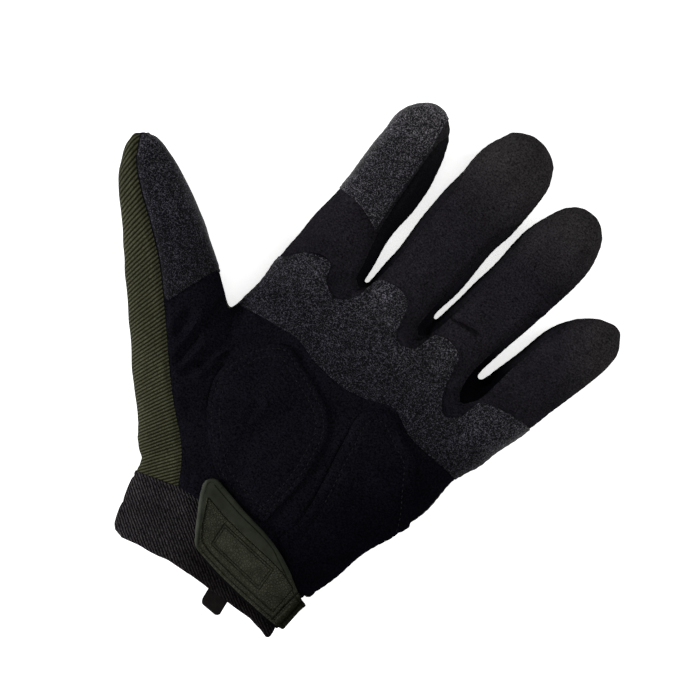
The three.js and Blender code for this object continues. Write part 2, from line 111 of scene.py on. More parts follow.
# Lines round the cuff, measured from its top or from its mouth: distance, width, rise
CUFF_TOP_LINES = [(CUFF_ROW, 0.8, -0.5)]
CUFF_MOUTH_LINES = [(6.5, 0.8, -0.35), (3, 2.2, 0.3)]
CUFF_LUMPS = {"height": 0.8, "fineness": 1.3}
# Seam between the hand and the cuff, from the thumb side to the outer side
WRIST_LINE = [
    [-60, -98], [-42, -95], [-33.3, -91.4], [-24, -87.4], [-15.6, -84.8], [-6, -83.8], [12, -85.4],
    [30, -87], [60, -86.4],
]

# Middle of the wrist, seen from above and from its end
WRIST_MIDDLE = 8.0
WRIST_LEVEL = 15.0

# Height of the seam between the palm side and the back: [y, height]
SIDE_SEAM = [[-130, 13.5], [-88, 14], [-20, 15], [12, 12.5], [32, 8], [62, 8], [88, 11], [116, 14.5]]

# Lines and outlines seen from above, [x, y]
THUMB_SEAM = [
    [-15.5, -92], [-17.8, -84.6], [-24.4, -74.6], [-31.4, -67.8], [-40, -60.8], [-50, -51.4],
    [-70, -31.5], [-82, -20.5], [-95, -11], [-104, -5], [-113.6, 3], [-119.4, 12],
]
THUMB_BACK_OUTER = [[-126, 22], [-140, 10], [-130, -40], [-60, -110], [-15.5, -110]]
THUMB_FRONT_INNER = [[-112, 26], [-70, 14], [-47, -8], [-49.5, -16.5], [-66, -40]]
STRIPS = {
    "fourchette_index_middle": (
        [[-13.8, 21.8], [-16.4, 23.4], [-17.6, 29], [-21.5, 44], [-24, 62], [-25.4, 76], [-25.6, 86],
         [-22.6, 98]],
        [[-16, 88.6], [-12.4, 86], [-10, 81.6], [-9.3, 74], [-9.1, 62], [-9, 44], [-9.8, 28],
         [-11, 23.4], [-13, 21.8]],
    ),
    "fourchette_middle_ring": (
        [[16.9, 22.2], [15, 24], [14.6, 29], [15.2, 44], [15.8, 60], [16.6, 70], [18.2, 76.6],
         [20.9, 80]],
        [[21.2, 80], [23.4, 76.6], [24.4, 71], [24.2, 60], [23.4, 44], [21.4, 29], [19.6, 24],
         [17.7, 22.2]],
    ),
    "fourchette_ring_little": (
        [[46.6, 12.4], [44.2, 15.6], [43, 24], [44.8, 40], [46.1, 50], [46.6, 54.8], [47.7, 57.4],
         [50.2, 58.2], [55, 57.8]],
        [[57, 72], [59.4, 66.4], [59.6, 61], [57, 53], [55.4, 43], [54, 34], [53.2, 26], [51.8, 18],
         [48.4, 12.6]],
    ),
}
PALM_GRIP = [
    [-56, -14], [-30, -11.5], [-18, -10], [-8, -12.5], [8, -13], [18, -10.5], [28, -6.5], [40, -11],
    [60, -12], [80, -12], [80, 20], [54, 18], [50.5, 8], [45.5, 4], [40, 9], [37, 18], [34.5, 26],
    [28, 28], [22, 26], [19.6, 17.5], [14.5, 14.5], [10, 16.5], [8, 23], [5, 29.5], [-3, 31],
    [-9.6, 28], [-11.6, 18], [-17.5, 12], [-25, 15], [-28.2, 21.4], [-37.7, 18.8], [-43.6, 12],
    [-52, 6],
]
INDEX_GRIP = [
    [-52, 47], [-44, 47], [-34, 46.6], [-27, 44.6], [-22.8, 42.6], [-25, 62], [-26.6, 80],
    [-28.8, 93], [-31, 106], [-56, 106],
]
THUMB_GRIP_INNER = [[-110, 30], [-70, 22], [-54, -4], [-61.6, -11], [-67.6, -31]]
THENAR_PAD = [
    [-29, -22], [-20, -14.6], [-10, -17.2], [2, -21], [9, -24.6], [14.6, -31], [17.6, -42],
    [19, -54], [18.4, -66], [16.8, -74.4], [-7.6, -71.6], [-18, -64.6], [-26, -57], [-32, -48],
    [-34.4, -40], [-33, -31],
]
HEEL_PAD = [
    [19.6, -15.4], [21.4, -30], [24.6, -44], [27.4, -57], [28.4, -66], [26.6, -75.4], [33, -79.4],
    [40, -84.2], [47, -86.4], [80, -86.4], [64, -40], [55, -26], [48, -17], [40, -13.4], [28, -9],
]

# Folds and ridges of the palm side: points, half width, rise (a fold where it is negative)
FOLD_STRENGTH = 1.45
FOLDS = [
    ([[-47.6, -16], [-48.8, -25], [-51, -34]], 3.2, -1.2),
    ([[-57.5, -27], [-57, -33], [-56, -41]], 2.4, -1.3),
    ([[-50.5, -31], [-49.5, -40], [-49, -50]], 2.1, -1.5),
    ([[-40, -33], [-41.5, -42], [-45, -51]], 1.6, -1.2),
    ([[-53.6, -26], [-53.2, -34], [-52.6, -45]], 1.9, 0.9),
    ([[-45.4, -32], [-46.2, -40], [-47.6, -50]], 1.6, 0.9),
    ([[-36.5, -25], [-38, -36], [-40, -50]], 1.6, 0.7),
    ([[-62.4, -27], [-61.6, -34], [-60, -41]], 1.8, 0.6),
    ([[-47.6, -15], [-46, -21], [-43.6, -27]], 1.1, 0.6),
    ([[-44.6, -13], [-42.4, -18], [-39.6, -22]], 1.5, -0.9),
    ([[-50.6, -14], [-51, -20], [-51, -26]], 1.6, -0.8),
    ([[-45, 12.4], [-40.6, 17.6], [-35, 21], [-27.5, 22.4]], 1.0, -1.1),
    ([[-43, 20], [-37, 24], [-28, 25.6]], 2.4, 0.5),
    ([[-45, -44], [-41, -43], [-38.4, -38], [-34.6, -29]], 1.0, -0.7),
    ([[-46, -42], [-42, -41], [-39.8, -37], [-36.4, -29]], 1.2, 0.5),
    ([[-4, 23.4], [2.4, 18.1], [9, 15.2], [16.4, 13.4]], 1.5, -0.8),
    ([[27, 18.6], [31, 17.4], [36, 15.8]], 1.8, 0.35),
    ([[19.6, 22], [23.4, 17.6], [28.4, 14.7], [37.7, 12.9], [44, 11.5]], 1.6, -0.8),
    ([[-15.5, -32], [-10.6, -40], [-11, -48], [-6, -56]], 0.8, 0.35),
    ([[-16, -37], [-13, -45], [-10, -54]], 1.6, -0.35),
    ([[21, 36], [25, 36.8], [30.6, 37.4], [37, 38.4]], 0.95, -1.6),
    ([[20, 39], [27, 40.4], [33, 44]], 2.2, 0.3),
    ([[45.4, 10], [46.4, 15], [48, 23], [50.8, 32]], 2.6, -1.45),
    ([[16.6, 16], [17.4, 22], [18.4, 28]], 1.7, -0.9),
    ([[-14.4, 15], [-13.6, 20], [-13.4, 26]], 1.7, -0.8),
    ([[58, 24], [64, 42], [70, 58]], 1.2, -0.25),
    ([[20, -16], [22, -30], [25.4, -45], [27.6, -58], [28, -68]], 1.0, -0.5),
    ([[-24, -73], [-18, -78], [-13, -84]], 2.2, -0.4),
    ([[-30, -62], [-24, -68], [-18, -73]], 2.4, 0.3),
    ([[30, -88], [40, -84], [48, -78]], 2.0, -0.3),
]
# How many half widths a fold reaches
FOLD_REACH = 3
# Seams: how far their dip reaches, and where the side seam fades out towards the thumb
SEAM_DIP = {"width": 1.1, "depth": 0.65, "shoulder": 2.6, "swell": 0.22, "pucker": 0.16, "pitch": 3.1}
SEAM_REACH = 6
SIDE_SEAM_FADE = (-50, 6)
LUMPS = {
    "sizes": (31.0, 17.0, 9.0), "heights": (0.35, 0.2, 0.09), "waves": 6, "spread": 2.4, "seed": 7,
}

# Strap and tab of the closure: levels over the glove, corners and rims, and the even band in which
# their outlines go on round the wrist
STRAP = {"low": 0.2, "high": 1.1, "corner": 1.6, "rim": 0.35}
TAB = {"low": 1.25, "high": 3.35, "corner": 2.6, "rim": 0.8, "recess": 0.5, "panel_corner": 1.2}
STRAP_BAND = {"low": -103.8, "high": -94.6, "start": 56, "end": 102}
TAB_BAND = {"low": -102.5, "high": -91.6, "start": 56, "end": 92}
BEND_STEP = 1.0
TAB_PLAN = [
    [46, -102.8], [30, -102], [18, -101.1], [3.2, -99], [-11, -77.4], [-8.4, -72.4], [10, -75.6],
    [19.4, -76.6], [26.2, -77.9], [31.5, -79.6], [36.5, -81.8], [41.4, -84.7], [46.8, -88.2],
]
STRAP_PLAN = [
    [45, -103.9], [30, -103], [14, -101.9], [5, -99.6], [0, -94], [-4, -79], [10, -79.4],
    [26, -81], [38, -88], [46, -93],
]
TAB_PANEL = [
    [-5.6, -80], [5, -82], [17.2, -82.9], [28.4, -83.4], [35.6, -84.3], [42.8, -86.6],
    [42.4, -99.4], [32, -98.8], [22, -98.2], [9.2, -97], [3.6, -95.6], [-0.4, -90.6],
]
TAB_FRAME = [[5.8, -84.1], [32.4, -85.6], [33.2, -95.9], [7, -94.1]]
# Lines drawn in the tab: their size, the gap between the two frames, the inner frame's share of the
# depth, and how far lines keep from the panel's edge, the band's edges and the band's end
TAB_LINE = {
    "width": 0.42, "depth": 0.45, "frame_gap": 0.95, "inner_share": 0.7, "panel_gap": 0.05,
    "margin": 1.7, "end_gap": 3,
}
TAB_TOP_LINE = [
    [-6.6, -75], [8.2, -77.4], [19.3, -78.3], [26.5, -79.6], [32.4, -82.2], [38, -84.9],
    [45, -88.9],
]
TAB_LOW_LINE = [[6, -98.3], [20, -99.9], [32, -100.5], [42, -101]]
# Bead along the tab's rim on the palm, and the bar and two creases across its outer end
TAB_BEAD = {
    "line": [
        [-3.6, -74], [-7.6, -73.7], [-9.6, -76.2], [-8.2, -80.6], [-3, -89.2], [1.9, -96.5],
        [3.7, -98.1], [7, -98.7],
    ],
    "width": 1.5, "height": 0.5, "sink": 0.6, "rim": 0.6,
}
TAB_BAR = {
    "line": [[45.8, -92.4], [45.2, -101.6]],
    "width": 1.7, "height": 0.5, "sink": 0.5, "rim": 0.4, "corner": 0.6, "corner_steps": 4,
}
TAB_CREASES = {
    "x": (43.7, 46.9), "line": [[0.9, -84], [0, -95], [-0.4, -107]], "width": 0.9, "depth": 1.1,
}
# Pull tape: past the mouth of the cuff its fold draws back at the corners and leans to one side
TAPE = {
    "left": 17.8, "right": 27.2, "thickness": 0.9, "slit": 1.0, "top": 22.8, "inside": -101,
    "mouth": -109, "end": -115.1, "steps": 13, "rim": 0.22, "straight": 0.68, "draw_back": 1.6,
    "lean": 1.0, "shift": 0.2,
}
# How far cutters stand clear of what they cut
CLEAR = 5

# Palm-side colours: low on the palm, up the fingers, and at the fingertips; the lighter tones up the
# fingers and at the tips are painted light
SUEDE_TONES = ((0.0039, 0.0037, 0.0055), (0.0100, 0.0091, 0.0114), (0.0194, 0.0177, 0.0185))
SIDE_TONES = ((0.0012, 0.0012, 0.0018), (0.0042, 0.0039, 0.0050), (0.0095, 0.0088, 0.0094))
SIDE_LIT_TONES = ((0.0012, 0.0012, 0.0018), (0.0082, 0.0076, 0.0096), (0.0150, 0.0138, 0.0146))
# Grip ridges are coloured much lighter than the valleys as painted glints
RIDGE_GLINT_TONES = ((0.0410, 0.0395, 0.0530), (0.1000, 0.0950, 0.1120), (0.1750, 0.1650, 0.1820))
VALLEY_TONES = ((0.0009, 0.0009, 0.0014), (0.0042, 0.0040, 0.0052), (0.0085, 0.0079, 0.0089))

# The photograph's view: straight down, with this width of table in the frame at this height
VIEW = {"height": 1100, "turn": 40, "across": 280, "level": 14, "sensor": 36}

# The studio, in metres: the table, and each light's place, size and watts
TABLE = {"half": 3.0, "drop": 0.0002, "glow": 0.66}
SKY_STRENGTH = 0.3
LIGHTS = {
    "left_key": ((-0.95, -0.78, 0.55), 0.4, 20),
    "overhead": ((0.1, 0.1, 1.6), 1.2, 7),
    "far_fill": ((0.62, 0.78, 0.7), 0.5, 5),
}

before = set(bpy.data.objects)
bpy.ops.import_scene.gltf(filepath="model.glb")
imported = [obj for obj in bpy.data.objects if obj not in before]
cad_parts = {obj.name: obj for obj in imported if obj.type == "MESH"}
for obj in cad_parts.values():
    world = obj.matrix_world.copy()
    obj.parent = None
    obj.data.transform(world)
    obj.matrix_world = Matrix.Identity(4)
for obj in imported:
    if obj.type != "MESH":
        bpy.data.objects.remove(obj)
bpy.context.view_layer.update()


def to_object(name, shape):
    """The finished bmesh as an object in the scene."""
    mesh = bpy.data.meshes.new(name)
    shape.to_mesh(mesh)
    shape.free()
    thing = bpy.data.objects.new(name, mesh)
    bpy.context.scene.collection.objects.link(thing)
    return thing


def copy_of(thing, name):
    twin = bpy.data.objects.new(name, thing.data.copy())
    bpy.context.scene.collection.objects.link(twin)
    return twin


def discard(*things):
    for thing in things:
        mesh = thing.data
        bpy.data.objects.remove(thing)
        bpy.data.meshes.remove(mesh)


@contextmanager
def editing(thing):
    """The object's mesh as a bmesh, put back at the end."""
    shape = bmesh.new()
    shape.from_mesh(thing.data)
    yield shape
    shape.to_mesh(thing.data)
    shape.free()


def modified(thing, kind, **settings):
    """Puts the result of one modifier into the object's mesh."""
    step = thing.modifiers.new(kind.lower(), kind)
    for name, value in settings.items():
        setattr(step, name, value)
    graph = bpy.context.evaluated_depsgraph_get()
    made = bpy.data.meshes.new_from_object(thing.evaluated_get(graph))
    before = thing.data
    thing.modifiers.clear()
    thing.data = made
    bpy.data.meshes.remove(before)
    return thing


def cut(thing, tool, operation="DIFFERENCE"):
    """Cuts, joins or intersects an object with a tool, which stays."""
    return modified(thing, "BOOLEAN", operation=operation, solver="MANIFOLD", object=tool)


def vectors(items, key):
    flat = np.empty(len(items) * 3, np.float32)
    items.foreach_get(key, flat)
    return flat.reshape(-1, 3).astype(float)


def points_of(thing):
    """A mesh's points in millimetres."""
    return vectors(thing.data.vertices, "co") / MM


def normals_of(thing):
    return vectors(thing.data.vertex_normals, "vector")


def move_to(thing, points):
    thing.data.vertices.foreach_set("co", (points * MM).astype(np.float32).ravel())
    thing.data.update()


def eased(t, start, end, leave, arrive):
    """A smooth way from start to end that leaves and arrives at the given slopes."""
    return (
        (2 * t**3 - 3 * t**2 + 1) * start + (t**3 - 2 * t**2 + t) * leave
        + (3 * t**2 - 2 * t**3) * end + (t**3 - t**2) * arrive
    )


def bell(distance, width):
    """1 at no distance, falling off to nothing over about twice the width."""
    return np.exp(-((distance / width) ** 2))


def smooth_line(points, step=1.5, closed=False):
    """A smooth curve through points, with a point about every step."""
    knots = np.array(points, float)
    ring = np.vstack([knots[-1], knots, knots[:2]]) if closed else np.vstack([
        2 * knots[0] - knots[1], knots, 2 * knots[-1] - knots[-2]])
    made = []
    for before, start, end, after in zip(ring, ring[1:], ring[2:], ring[3:]):
        length = np.linalg.norm(end - start)
        leave = (end - before) / (length + np.linalg.norm(start - before)) * length
        arrive = (after - start) / (length + np.linalg.norm(after - end)) * length
        t = np.linspace(0, 1, max(int(length / step), 1), endpoint=False)[:, None]
        made.append(eased(t, start, end, leave, arrive))
    if not closed:
        made.append(knots[-1:])
    return np.vstack(made)


def grown(outline, distance):
    """An outline moved outwards by a distance, or inwards where it is negative."""
    points = np.array(outline, float)
    ahead = np.roll(points, -1, 0) - points
    area = np.sum(points[:, 0] * np.roll(points[:, 1], -1) - np.roll(points[:, 0], -1) * points[:, 1])
    ahead /= np.linalg.norm(ahead, axis=1)[:, None]
    turned = ahead + np.roll(ahead, 1, 0)
    normal = np.stack([turned[:, 1], -turned[:, 0]], 1) * np.sign(area)
    normal /= np.maximum(np.linalg.norm(normal, axis=1), 1e-6)[:, None]
    flat = np.stack([ahead[:, 1], -ahead[:, 0]], 1) * np.sign(area)
    stretch = np.maximum(np.sum(normal * flat, 1), 0.5)
    return points + normal * (distance / stretch)[:, None]


def extruded(name, corners, reach):
    """A flat outline of 3-D corners, drawn out along a vector into a solid."""
    shape = bmesh.new()
    base = shape.faces.new([shape.verts.new(Vector(corner) * MM) for corner in corners])
    made = bmesh.ops.extrude_face_region(shape, geom=[base])["geom"]
    moved = [item for item in made if isinstance(item, bmesh.types.BMVert)]
    bmesh.ops.translate(shape, verts=moved, vec=Vector(reach) * MM)
    bmesh.ops.recalc_face_normals(shape, faces=shape.faces)
    return to_object(name, shape)


def prism(outline, low=-TALL, high=TALL, distance=0.0):
    """A solid with that outline seen from above, between two heights."""
    edge = grown(outline, distance) if distance else outline
    return extruded("prism", [(x, y, low) for x, y in edge], (0, 0, high - low))


def under_seam(distance):
    """Everything under the side seam, moved up or down by a distance."""
    edge = [(-FAR, y, height + distance) for y, height in smooth_line(SIDE_SEAM, 4)]
    ends = [(-FAR, FAR, edge[-1][2]), (-FAR, FAR, -TALL), (-FAR, -FAR, -TALL), (-FAR, -FAR, edge[0][2])]
    return extruded("under_seam", edge + ends, (2 * FAR, 0, 0))


def row_at(rows, along):
    """A table's other columns at each place along it, on a smooth curve through its rows."""
    table = np.array(rows, float)
    knots = table[:, 0]
    values = table[:, 1:]
    slopes = np.gradient(values, knots, axis=0)
    along = np.clip(along, knots[0], knots[-1])
    i = np.clip(np.searchsorted(knots, along, side="right") - 1, 0, len(knots) - 2)
    span = (knots[i + 1] - knots[i])[:, None]
    t = (along - knots[i])[:, None] / span
    return eased(t, values[i], values[i + 1], span * slopes[i], span * slopes[i + 1])


def section(columns, power, angles, offset=0.0):
    """Sideways place and height of a superellipse section at the given angles."""
    left, right, low, high = columns
    half_width = max((right - left) / 2 + offset, LEAST_HALF)
    half_depth = max((high - low) / 2 + offset, LEAST_HALF)
    across = np.sign(np.cos(angles)) * np.abs(np.cos(angles)) ** (2 / power)
    up = np.sign(np.sin(angles)) * np.abs(np.sin(angles)) ** (2 / power)
    return (left + right) / 2 + half_width * across, (low + high) / 2 + half_depth * up


def tube_rings(tube, offset, step=ROW_STEP, sides=TUBE_SIDES):
    """Rings of points along a tube of the hand, grown outwards or inwards by an offset."""
    root, heading, power, rows = tube
    turn = math.radians(heading)
    first, last = rows[0][0], rows[-1][0]
    stations = np.unique(np.append(np.arange(first, last, step), [row[0] for row in rows[-3:]]))
    angles = np.linspace(0, 2 * math.pi, sides, endpoint=False)
    rings = []
    for along, columns in zip(stations, row_at(rows, stations)):
        side, height = section(columns, power, angles, offset)
        along = along + offset * (along - first) / (last - first)
        x = root[0] + math.sin(turn) * along + math.cos(turn) * side
        y = root[1] + math.cos(turn) * along - math.sin(turn) * side
        rings.append(np.stack([x, y, height], 1))
    return rings


def loft(shape, rings, end_caps=True):
    """A tube through rings of points: capped at its ends, or joined end to end."""
    place = shape.verts.layers.int.get("place") or shape.verts.layers.int.new("place")
    start = bmesh.ops.create_circle(shape, cap_ends=False, segments=len(rings[0]), radius=1)["verts"]
    for k, vert in enumerate(start):
        vert[place] = k
        vert.co = Vector(rings[0][k]) * MM
    first = list({edge for vert in start for edge in vert.link_edges})
    edges = first
    for ring in rings[1:]:
        made = bmesh.ops.extrude_edge_only(shape, edges=edges)["geom"]
        verts = [item for item in made if isinstance(item, bmesh.types.BMVert)]
        new = set(verts)
        for vert in verts:
            vert.co = Vector(ring[vert[place]]) * MM
        edges = [
            item for item in made
            if isinstance(item, bmesh.types.BMEdge) and new.issuperset(item.verts)
        ]
    if end_caps:
        bmesh.ops.contextual_create(shape, geom=first)
        bmesh.ops.contextual_create(shape, geom=edges)
    else:
        bmesh.ops.bridge_loops(shape, edges=first + edges)
    bmesh.ops.recalc_face_normals(shape, faces=shape.faces)


def tubes_object(name, offset, fineness):
    """All the tubes of the hand as one smooth closed surface."""
    shape = bmesh.new()
    for tube in TUBES.values():
        loft(shape, tube_rings(tube, offset))
    form = to_object(name, shape)
    modified(form, "REMESH", mode="VOXEL", voxel_size=fineness["voxel"] * MM)
    return modified(form, "SMOOTH", factor=0.5, iterations=fineness["smoothing"])


def line_distance(points, line):
    """Distance from each point to a line seen from above, and the share of the line behind it."""
    starts, ends = line[:-1], line[1:]
    lengths = np.linalg.norm(ends - starts, axis=1)
    behind = np.append(0, np.cumsum(lengths))
    best = np.full(len(points), 1e9)
    share = np.zeros(len(points))
    for start, end, length, before in zip(starts, ends, lengths, behind):
        way = (end - start) / length
        reach = np.clip((points[:, :2] - start) @ way, 0, length)
        away = np.linalg.norm(points[:, :2] - start - reach[:, None] * way, axis=1)
        nearer = away < best
        best[nearer] = away[nearer]
        share[nearer] = (before + reach[nearer]) / behind[-1]
    return best, share


def near(points, line, reach):
    """Which points lie within reach of the box round a line."""
    low, high = line.min(0) - reach, line.max(0) + reach
    return np.flatnonzero(np.all((points[:, :2] > low) & (points[:, :2] < high), axis=1))


def inside_distance(points, outline):
    """Distance from each point to a closed outline seen from above, negative outside it."""
    ring = np.vstack([outline, outline[:1]])
    away, _ = line_distance(points, ring)
    inside = np.zeros(len(points), bool)
    for (x0, y0), (x1, y1) in zip(ring, ring[1:]):
        spans = (y0 > points[:, 1]) != (y1 > points[:, 1])
        rise = y1 - y0 if abs(y1 - y0) > 1e-9 else 1e-9
        crossing = x0 + (points[:, 1] - y0) / rise * (x1 - x0)
        inside ^= spans & (points[:, 0] < crossing)
    return np.where(inside, away, -away)


def lumps(points):
    """Soft unevenness of filled cloth, the same on each run."""
    dice = np.random.default_rng(LUMPS["seed"])
    rise = np.zeros(len(points))
    for size, height in zip(LUMPS["sizes"], LUMPS["heights"]):
        for _ in range(LUMPS["waves"]):
            way = dice.normal(size=3)
            way *= 2 * math.pi / size / np.linalg.norm(way)
            rise += height / LUMPS["spread"] * np.sin(points @ way + dice.uniform(0, 2 * math.pi))
    return rise


THUMB_LINE = smooth_line(THUMB_SEAM)
STRIP_LINES = {
    name: [smooth_line(side) for side in sides] for name, sides in STRIPS.items()
}
GRIP_LINES = {
    "palm_grip": smooth_line(PALM_GRIP, closed=True),
    "index_grip": np.vstack([smooth_line(INDEX_GRIP[:5]), smooth_line(INDEX_GRIP[4:])[1:]]),
    "thumb_grip": np.vstack([smooth_line(THUMB_SEAM[6:]) + 0.4, THUMB_GRIP_INNER]),
}
THENAR_LINE = smooth_line(THENAR_PAD, closed=True)
HEEL_LINE = smooth_line(HEEL_PAD, closed=True)
WRIST_CURVE = smooth_line(WRIST_LINE)


def wrist_at(x):
    """Where the wrist seam runs at each x."""
    return np.interp(x, WRIST_CURVE[:, 0], WRIST_CURVE[:, 1])


def seam_profile(away, along):
    """Rise of the cloth beside a seam: a rolled dip with a low shoulder and thread puckers."""
    dip = bell(away, SEAM_DIP["width"])
    shoulder = bell(away - SEAM_DIP["shoulder"], SEAM_DIP["width"])
    pucker = np.sin(2 * math.pi * along / SEAM_DIP["pitch"]) * bell(away, SEAM_DIP["shoulder"])
    return SEAM_DIP["swell"] * shoulder - SEAM_DIP["depth"] * dip - SEAM_DIP["pucker"] * pucker


def sculpt(form):
    """Moves the points of the hand's surface into its seams, folds and soft lumps."""
    points = points_of(form)
    normals = normals_of(form)
    facing_up = np.clip((normals[:, 2] + 0.15) * 2.2, 0, 1)
    sideways = np.clip(1.25 - np.abs(normals[:, 2]) * 1.6, 0, 1)
    rise = lumps(points)
    for line, width, height in FOLDS:
        curve = smooth_line(line)
        picked = near(points, curve, FOLD_REACH * width)
        away, share = line_distance(points[picked], curve)
        taper = np.clip(np.sin(math.pi * np.clip(share, 0.02, 0.98)) * 1.5, 0, 1)
        dent = FOLD_STRENGTH * height * bell(away, width)
        rise[picked] += dent * taper * facing_up[picked]
    seams = [THUMB_LINE, *(side for sides in STRIP_LINES.values() for side in sides)]
    for line in seams:
        picked = near(points, line, SEAM_REACH)
        away, share = line_distance(points[picked], line)
        length = np.sum(np.linalg.norm(np.diff(line, axis=0), axis=1))
        up = facing_up[picked] if line is not THUMB_LINE else 1.0
        rise[picked] += seam_profile(away, share * length) * up
    seam_height = np.interp(points[:, 1], *np.array(SIDE_SEAM, float).T)
    fade_from, fade_over = SIDE_SEAM_FADE
    off_thumb = np.clip((points[:, 0] - fade_from) / fade_over, 0, 1)
    rise += seam_profile(np.abs(points[:, 2] - seam_height), points[:, 1]) * sideways * off_thumb
    points += normals * rise[:, None]
    points[:, 2] = np.maximum(points[:, 2], 0)
    move_to(form, points)


def raised(form, rise, name="raised"):
    """A copy of a form with its surface moved out by a distance at each point."""
    twin = copy_of(form, name)
    points = points_of(twin) + normals_of(twin) * np.broadcast_to(rise, len(twin.data.vertices))[:, None]
    points[:, 2] = np.maximum(points[:, 2], 0.0)
    move_to(twin, points)
    return twin


def keep_main(thing):
    """Drops the crumbs that a cut leaves beside the main body."""
    with editing(thing) as shape:
        left = set(shape.verts)
        bodies = []
        while left:
            body = {left.pop()}
            edge = list(body)
            while edge:
                fresh = {e.other_vert(v) for v in edge for e in v.link_edges} - body
                body |= fresh
                edge = list(fresh)
            left -= body
            bodies.append(body)
        main = max(bodies, key=len)
        crumbs = [v for v in shape.verts if v not in main]
        bmesh.ops.delete(shape, geom=crumbs, context="VERTS")
    return thing


def back_region(distance):
    """What belongs to the back panel: under the side seam, but on the thumb outside its seam."""
    front = np.vstack([smooth_line(THUMB_SEAM[6:]) - 3, THUMB_FRONT_INNER])
    back = np.vstack([THUMB_LINE, THUMB_BACK_OUTER])
    region = under_seam(distance)
    inner = prism(front, distance=-distance)
    outer = prism(back, distance=distance)
    cut(region, inner)
    cut(region, outer, "UNION")
    discard(inner, outer)
    return region


def hand_panels(form):
    """The palm, the back and the finger sides, cut from one hollow hand along its seams."""
    shell = copy_of(form, "shell")
    hollow = tubes_object("hollow", -CLOTH_WALL, HOLLOW)
    points = points_of(hollow)
    points[:, 2] = np.maximum(points[:, 2], FLOOR_WALL)
    move_to(hollow, points)
    cut(shell, hollow)
    ends = [(FAR, WRIST_LINE[-1][1]), (FAR, FAR), (-FAR, FAR), (-FAR, WRIST_LINE[0][1])]
    span = prism([*WRIST_CURVE, *ends])
    cut(shell, span, "INTERSECT")
    half = SEAM_GAP / 2
    behind, before = back_region(-half), back_region(half)
    under = under_seam(half)
    back = cut(copy_of(shell, "back_cloth"), behind, "INTERSECT")
    palm = cut(copy_of(shell, "palm_suede"), before)
    pieces = {"back_panel": back, "palm_panel": palm}
    for name, (left, right) in STRIP_LINES.items():
        outline = np.vstack([left, right])
        wide, narrow = prism(outline, distance=half), prism(outline, distance=-half)
        cut(palm, wide)
        side = cut(copy_of(shell, name.replace("fourchette", "finger_side")), narrow, "INTERSECT")
        pieces[name] = cut(side, under)
        discard(wide, narrow)
    discard(shell, hollow, span, behind, before, under)
    return {name: keep_main(piece) for name, piece in pieces.items()}


def overlay(name, form, outline, kind, rows=(), wraps=False):
    """A piece laid on the form: cut to an outline, with a rounded edge and dips along its stitching."""
    depth = inside_distance(points_of(form), outline)
    inward = 1 - np.clip(depth / kind["edge"], 0, 1)
    rise = kind["lift"] + kind["thickness"] * (EDGE_SHARE + (1 - EDGE_SHARE) * np.sqrt(1 - inward**2))
    for row in rows:
        rise -= ROW_DIP["depth"] * bell(depth - row, ROW_DIP["width"])
    piece = raised(form, rise, name)
    blade = prism(outline)
    base = raised(form, kind["lift"])
    cut(piece, blade, "INTERSECT")
    if not wraps:
        hem = under_seam(OVERLAY_HEM)
        cut(piece, hem)
        discard(hem)
    cut(piece, base)
    discard(blade, base)
    return keep_main(piece)


def cuff_band():
    """The knitted cuff: one wall with a rolled hem at its mouth and a tucked top edge."""
    wall = CUFF["wall"]
    angles = np.linspace(0, 2 * math.pi, CUFF["sides"], endpoint=False)
    edge = np.array(CUFF_EDGE, float)
    power = CUFF_TUBE[2]
    roll = np.linspace(0, math.pi, CUFF["hem"] + 2)
    steps = [(t, 0.0, 0.0) for t in np.linspace(0, 1, CUFF["rings"])]
    steps += [(1, -wall / 2 * (1 - math.cos(a)), wall / 2 * math.sin(a)) for a in roll[1:-1]]
    steps += [(t, -wall, 0.0) for t in np.linspace(1, 0, CUFF["rings"])]
    steps += [(0, -wall / 2 * (1 + math.cos(a)), -wall / 2 * math.sin(a) * 0.5) for a in roll[1:-1]]
    rings = []
    for share, offset, past in steps:
        ys = np.full(len(angles), CUFF["guess"])
        for _ in range(CUFF["rounds"]):
            columns = row_at(CUFF_TUBE[3], ys)
            spots = [section(row, power, angles[k:k + 1], offset) for k, row in enumerate(columns)]
            x = np.array([spot[0][0] for spot in spots])
            top = wrist_at(x) - SEAM_GAP
            bottom = np.interp(x, edge[:, 0], edge[:, 1]) + wall / 2
            ys = top + (bottom - top) * share
        z = np.array([spot[1][0] for spot in spots])
        rings.append(np.stack([x, ys - past, z], 1))
    shape = bmesh.new()
    loft(shape, rings, end_caps=False)
    band = to_object("cuff_knit", shape)
    points = points_of(band)
    normals = normals_of(band)
    x, y, z = points.T
    top = wrist_at(x)
    bottom = np.interp(x, edge[:, 0], edge[:, 1])
    outer = normals[:, 2] * (z - WRIST_LEVEL) + normals[:, 0] * (x - WRIST_MIDDLE) > 0
    rise = CUFF_LUMPS["height"] * lumps(points * CUFF_LUMPS["fineness"])
    for distance, width, height in CUFF_TOP_LINES:
        rise += height * bell(top - y - distance, width)
    for distance, width, height in CUFF_MOUTH_LINES:
        rise += height * bell(y - bottom - distance, width)
    points += normals * (rise * outer)[:, None]
    move_to(band, points)
    return band


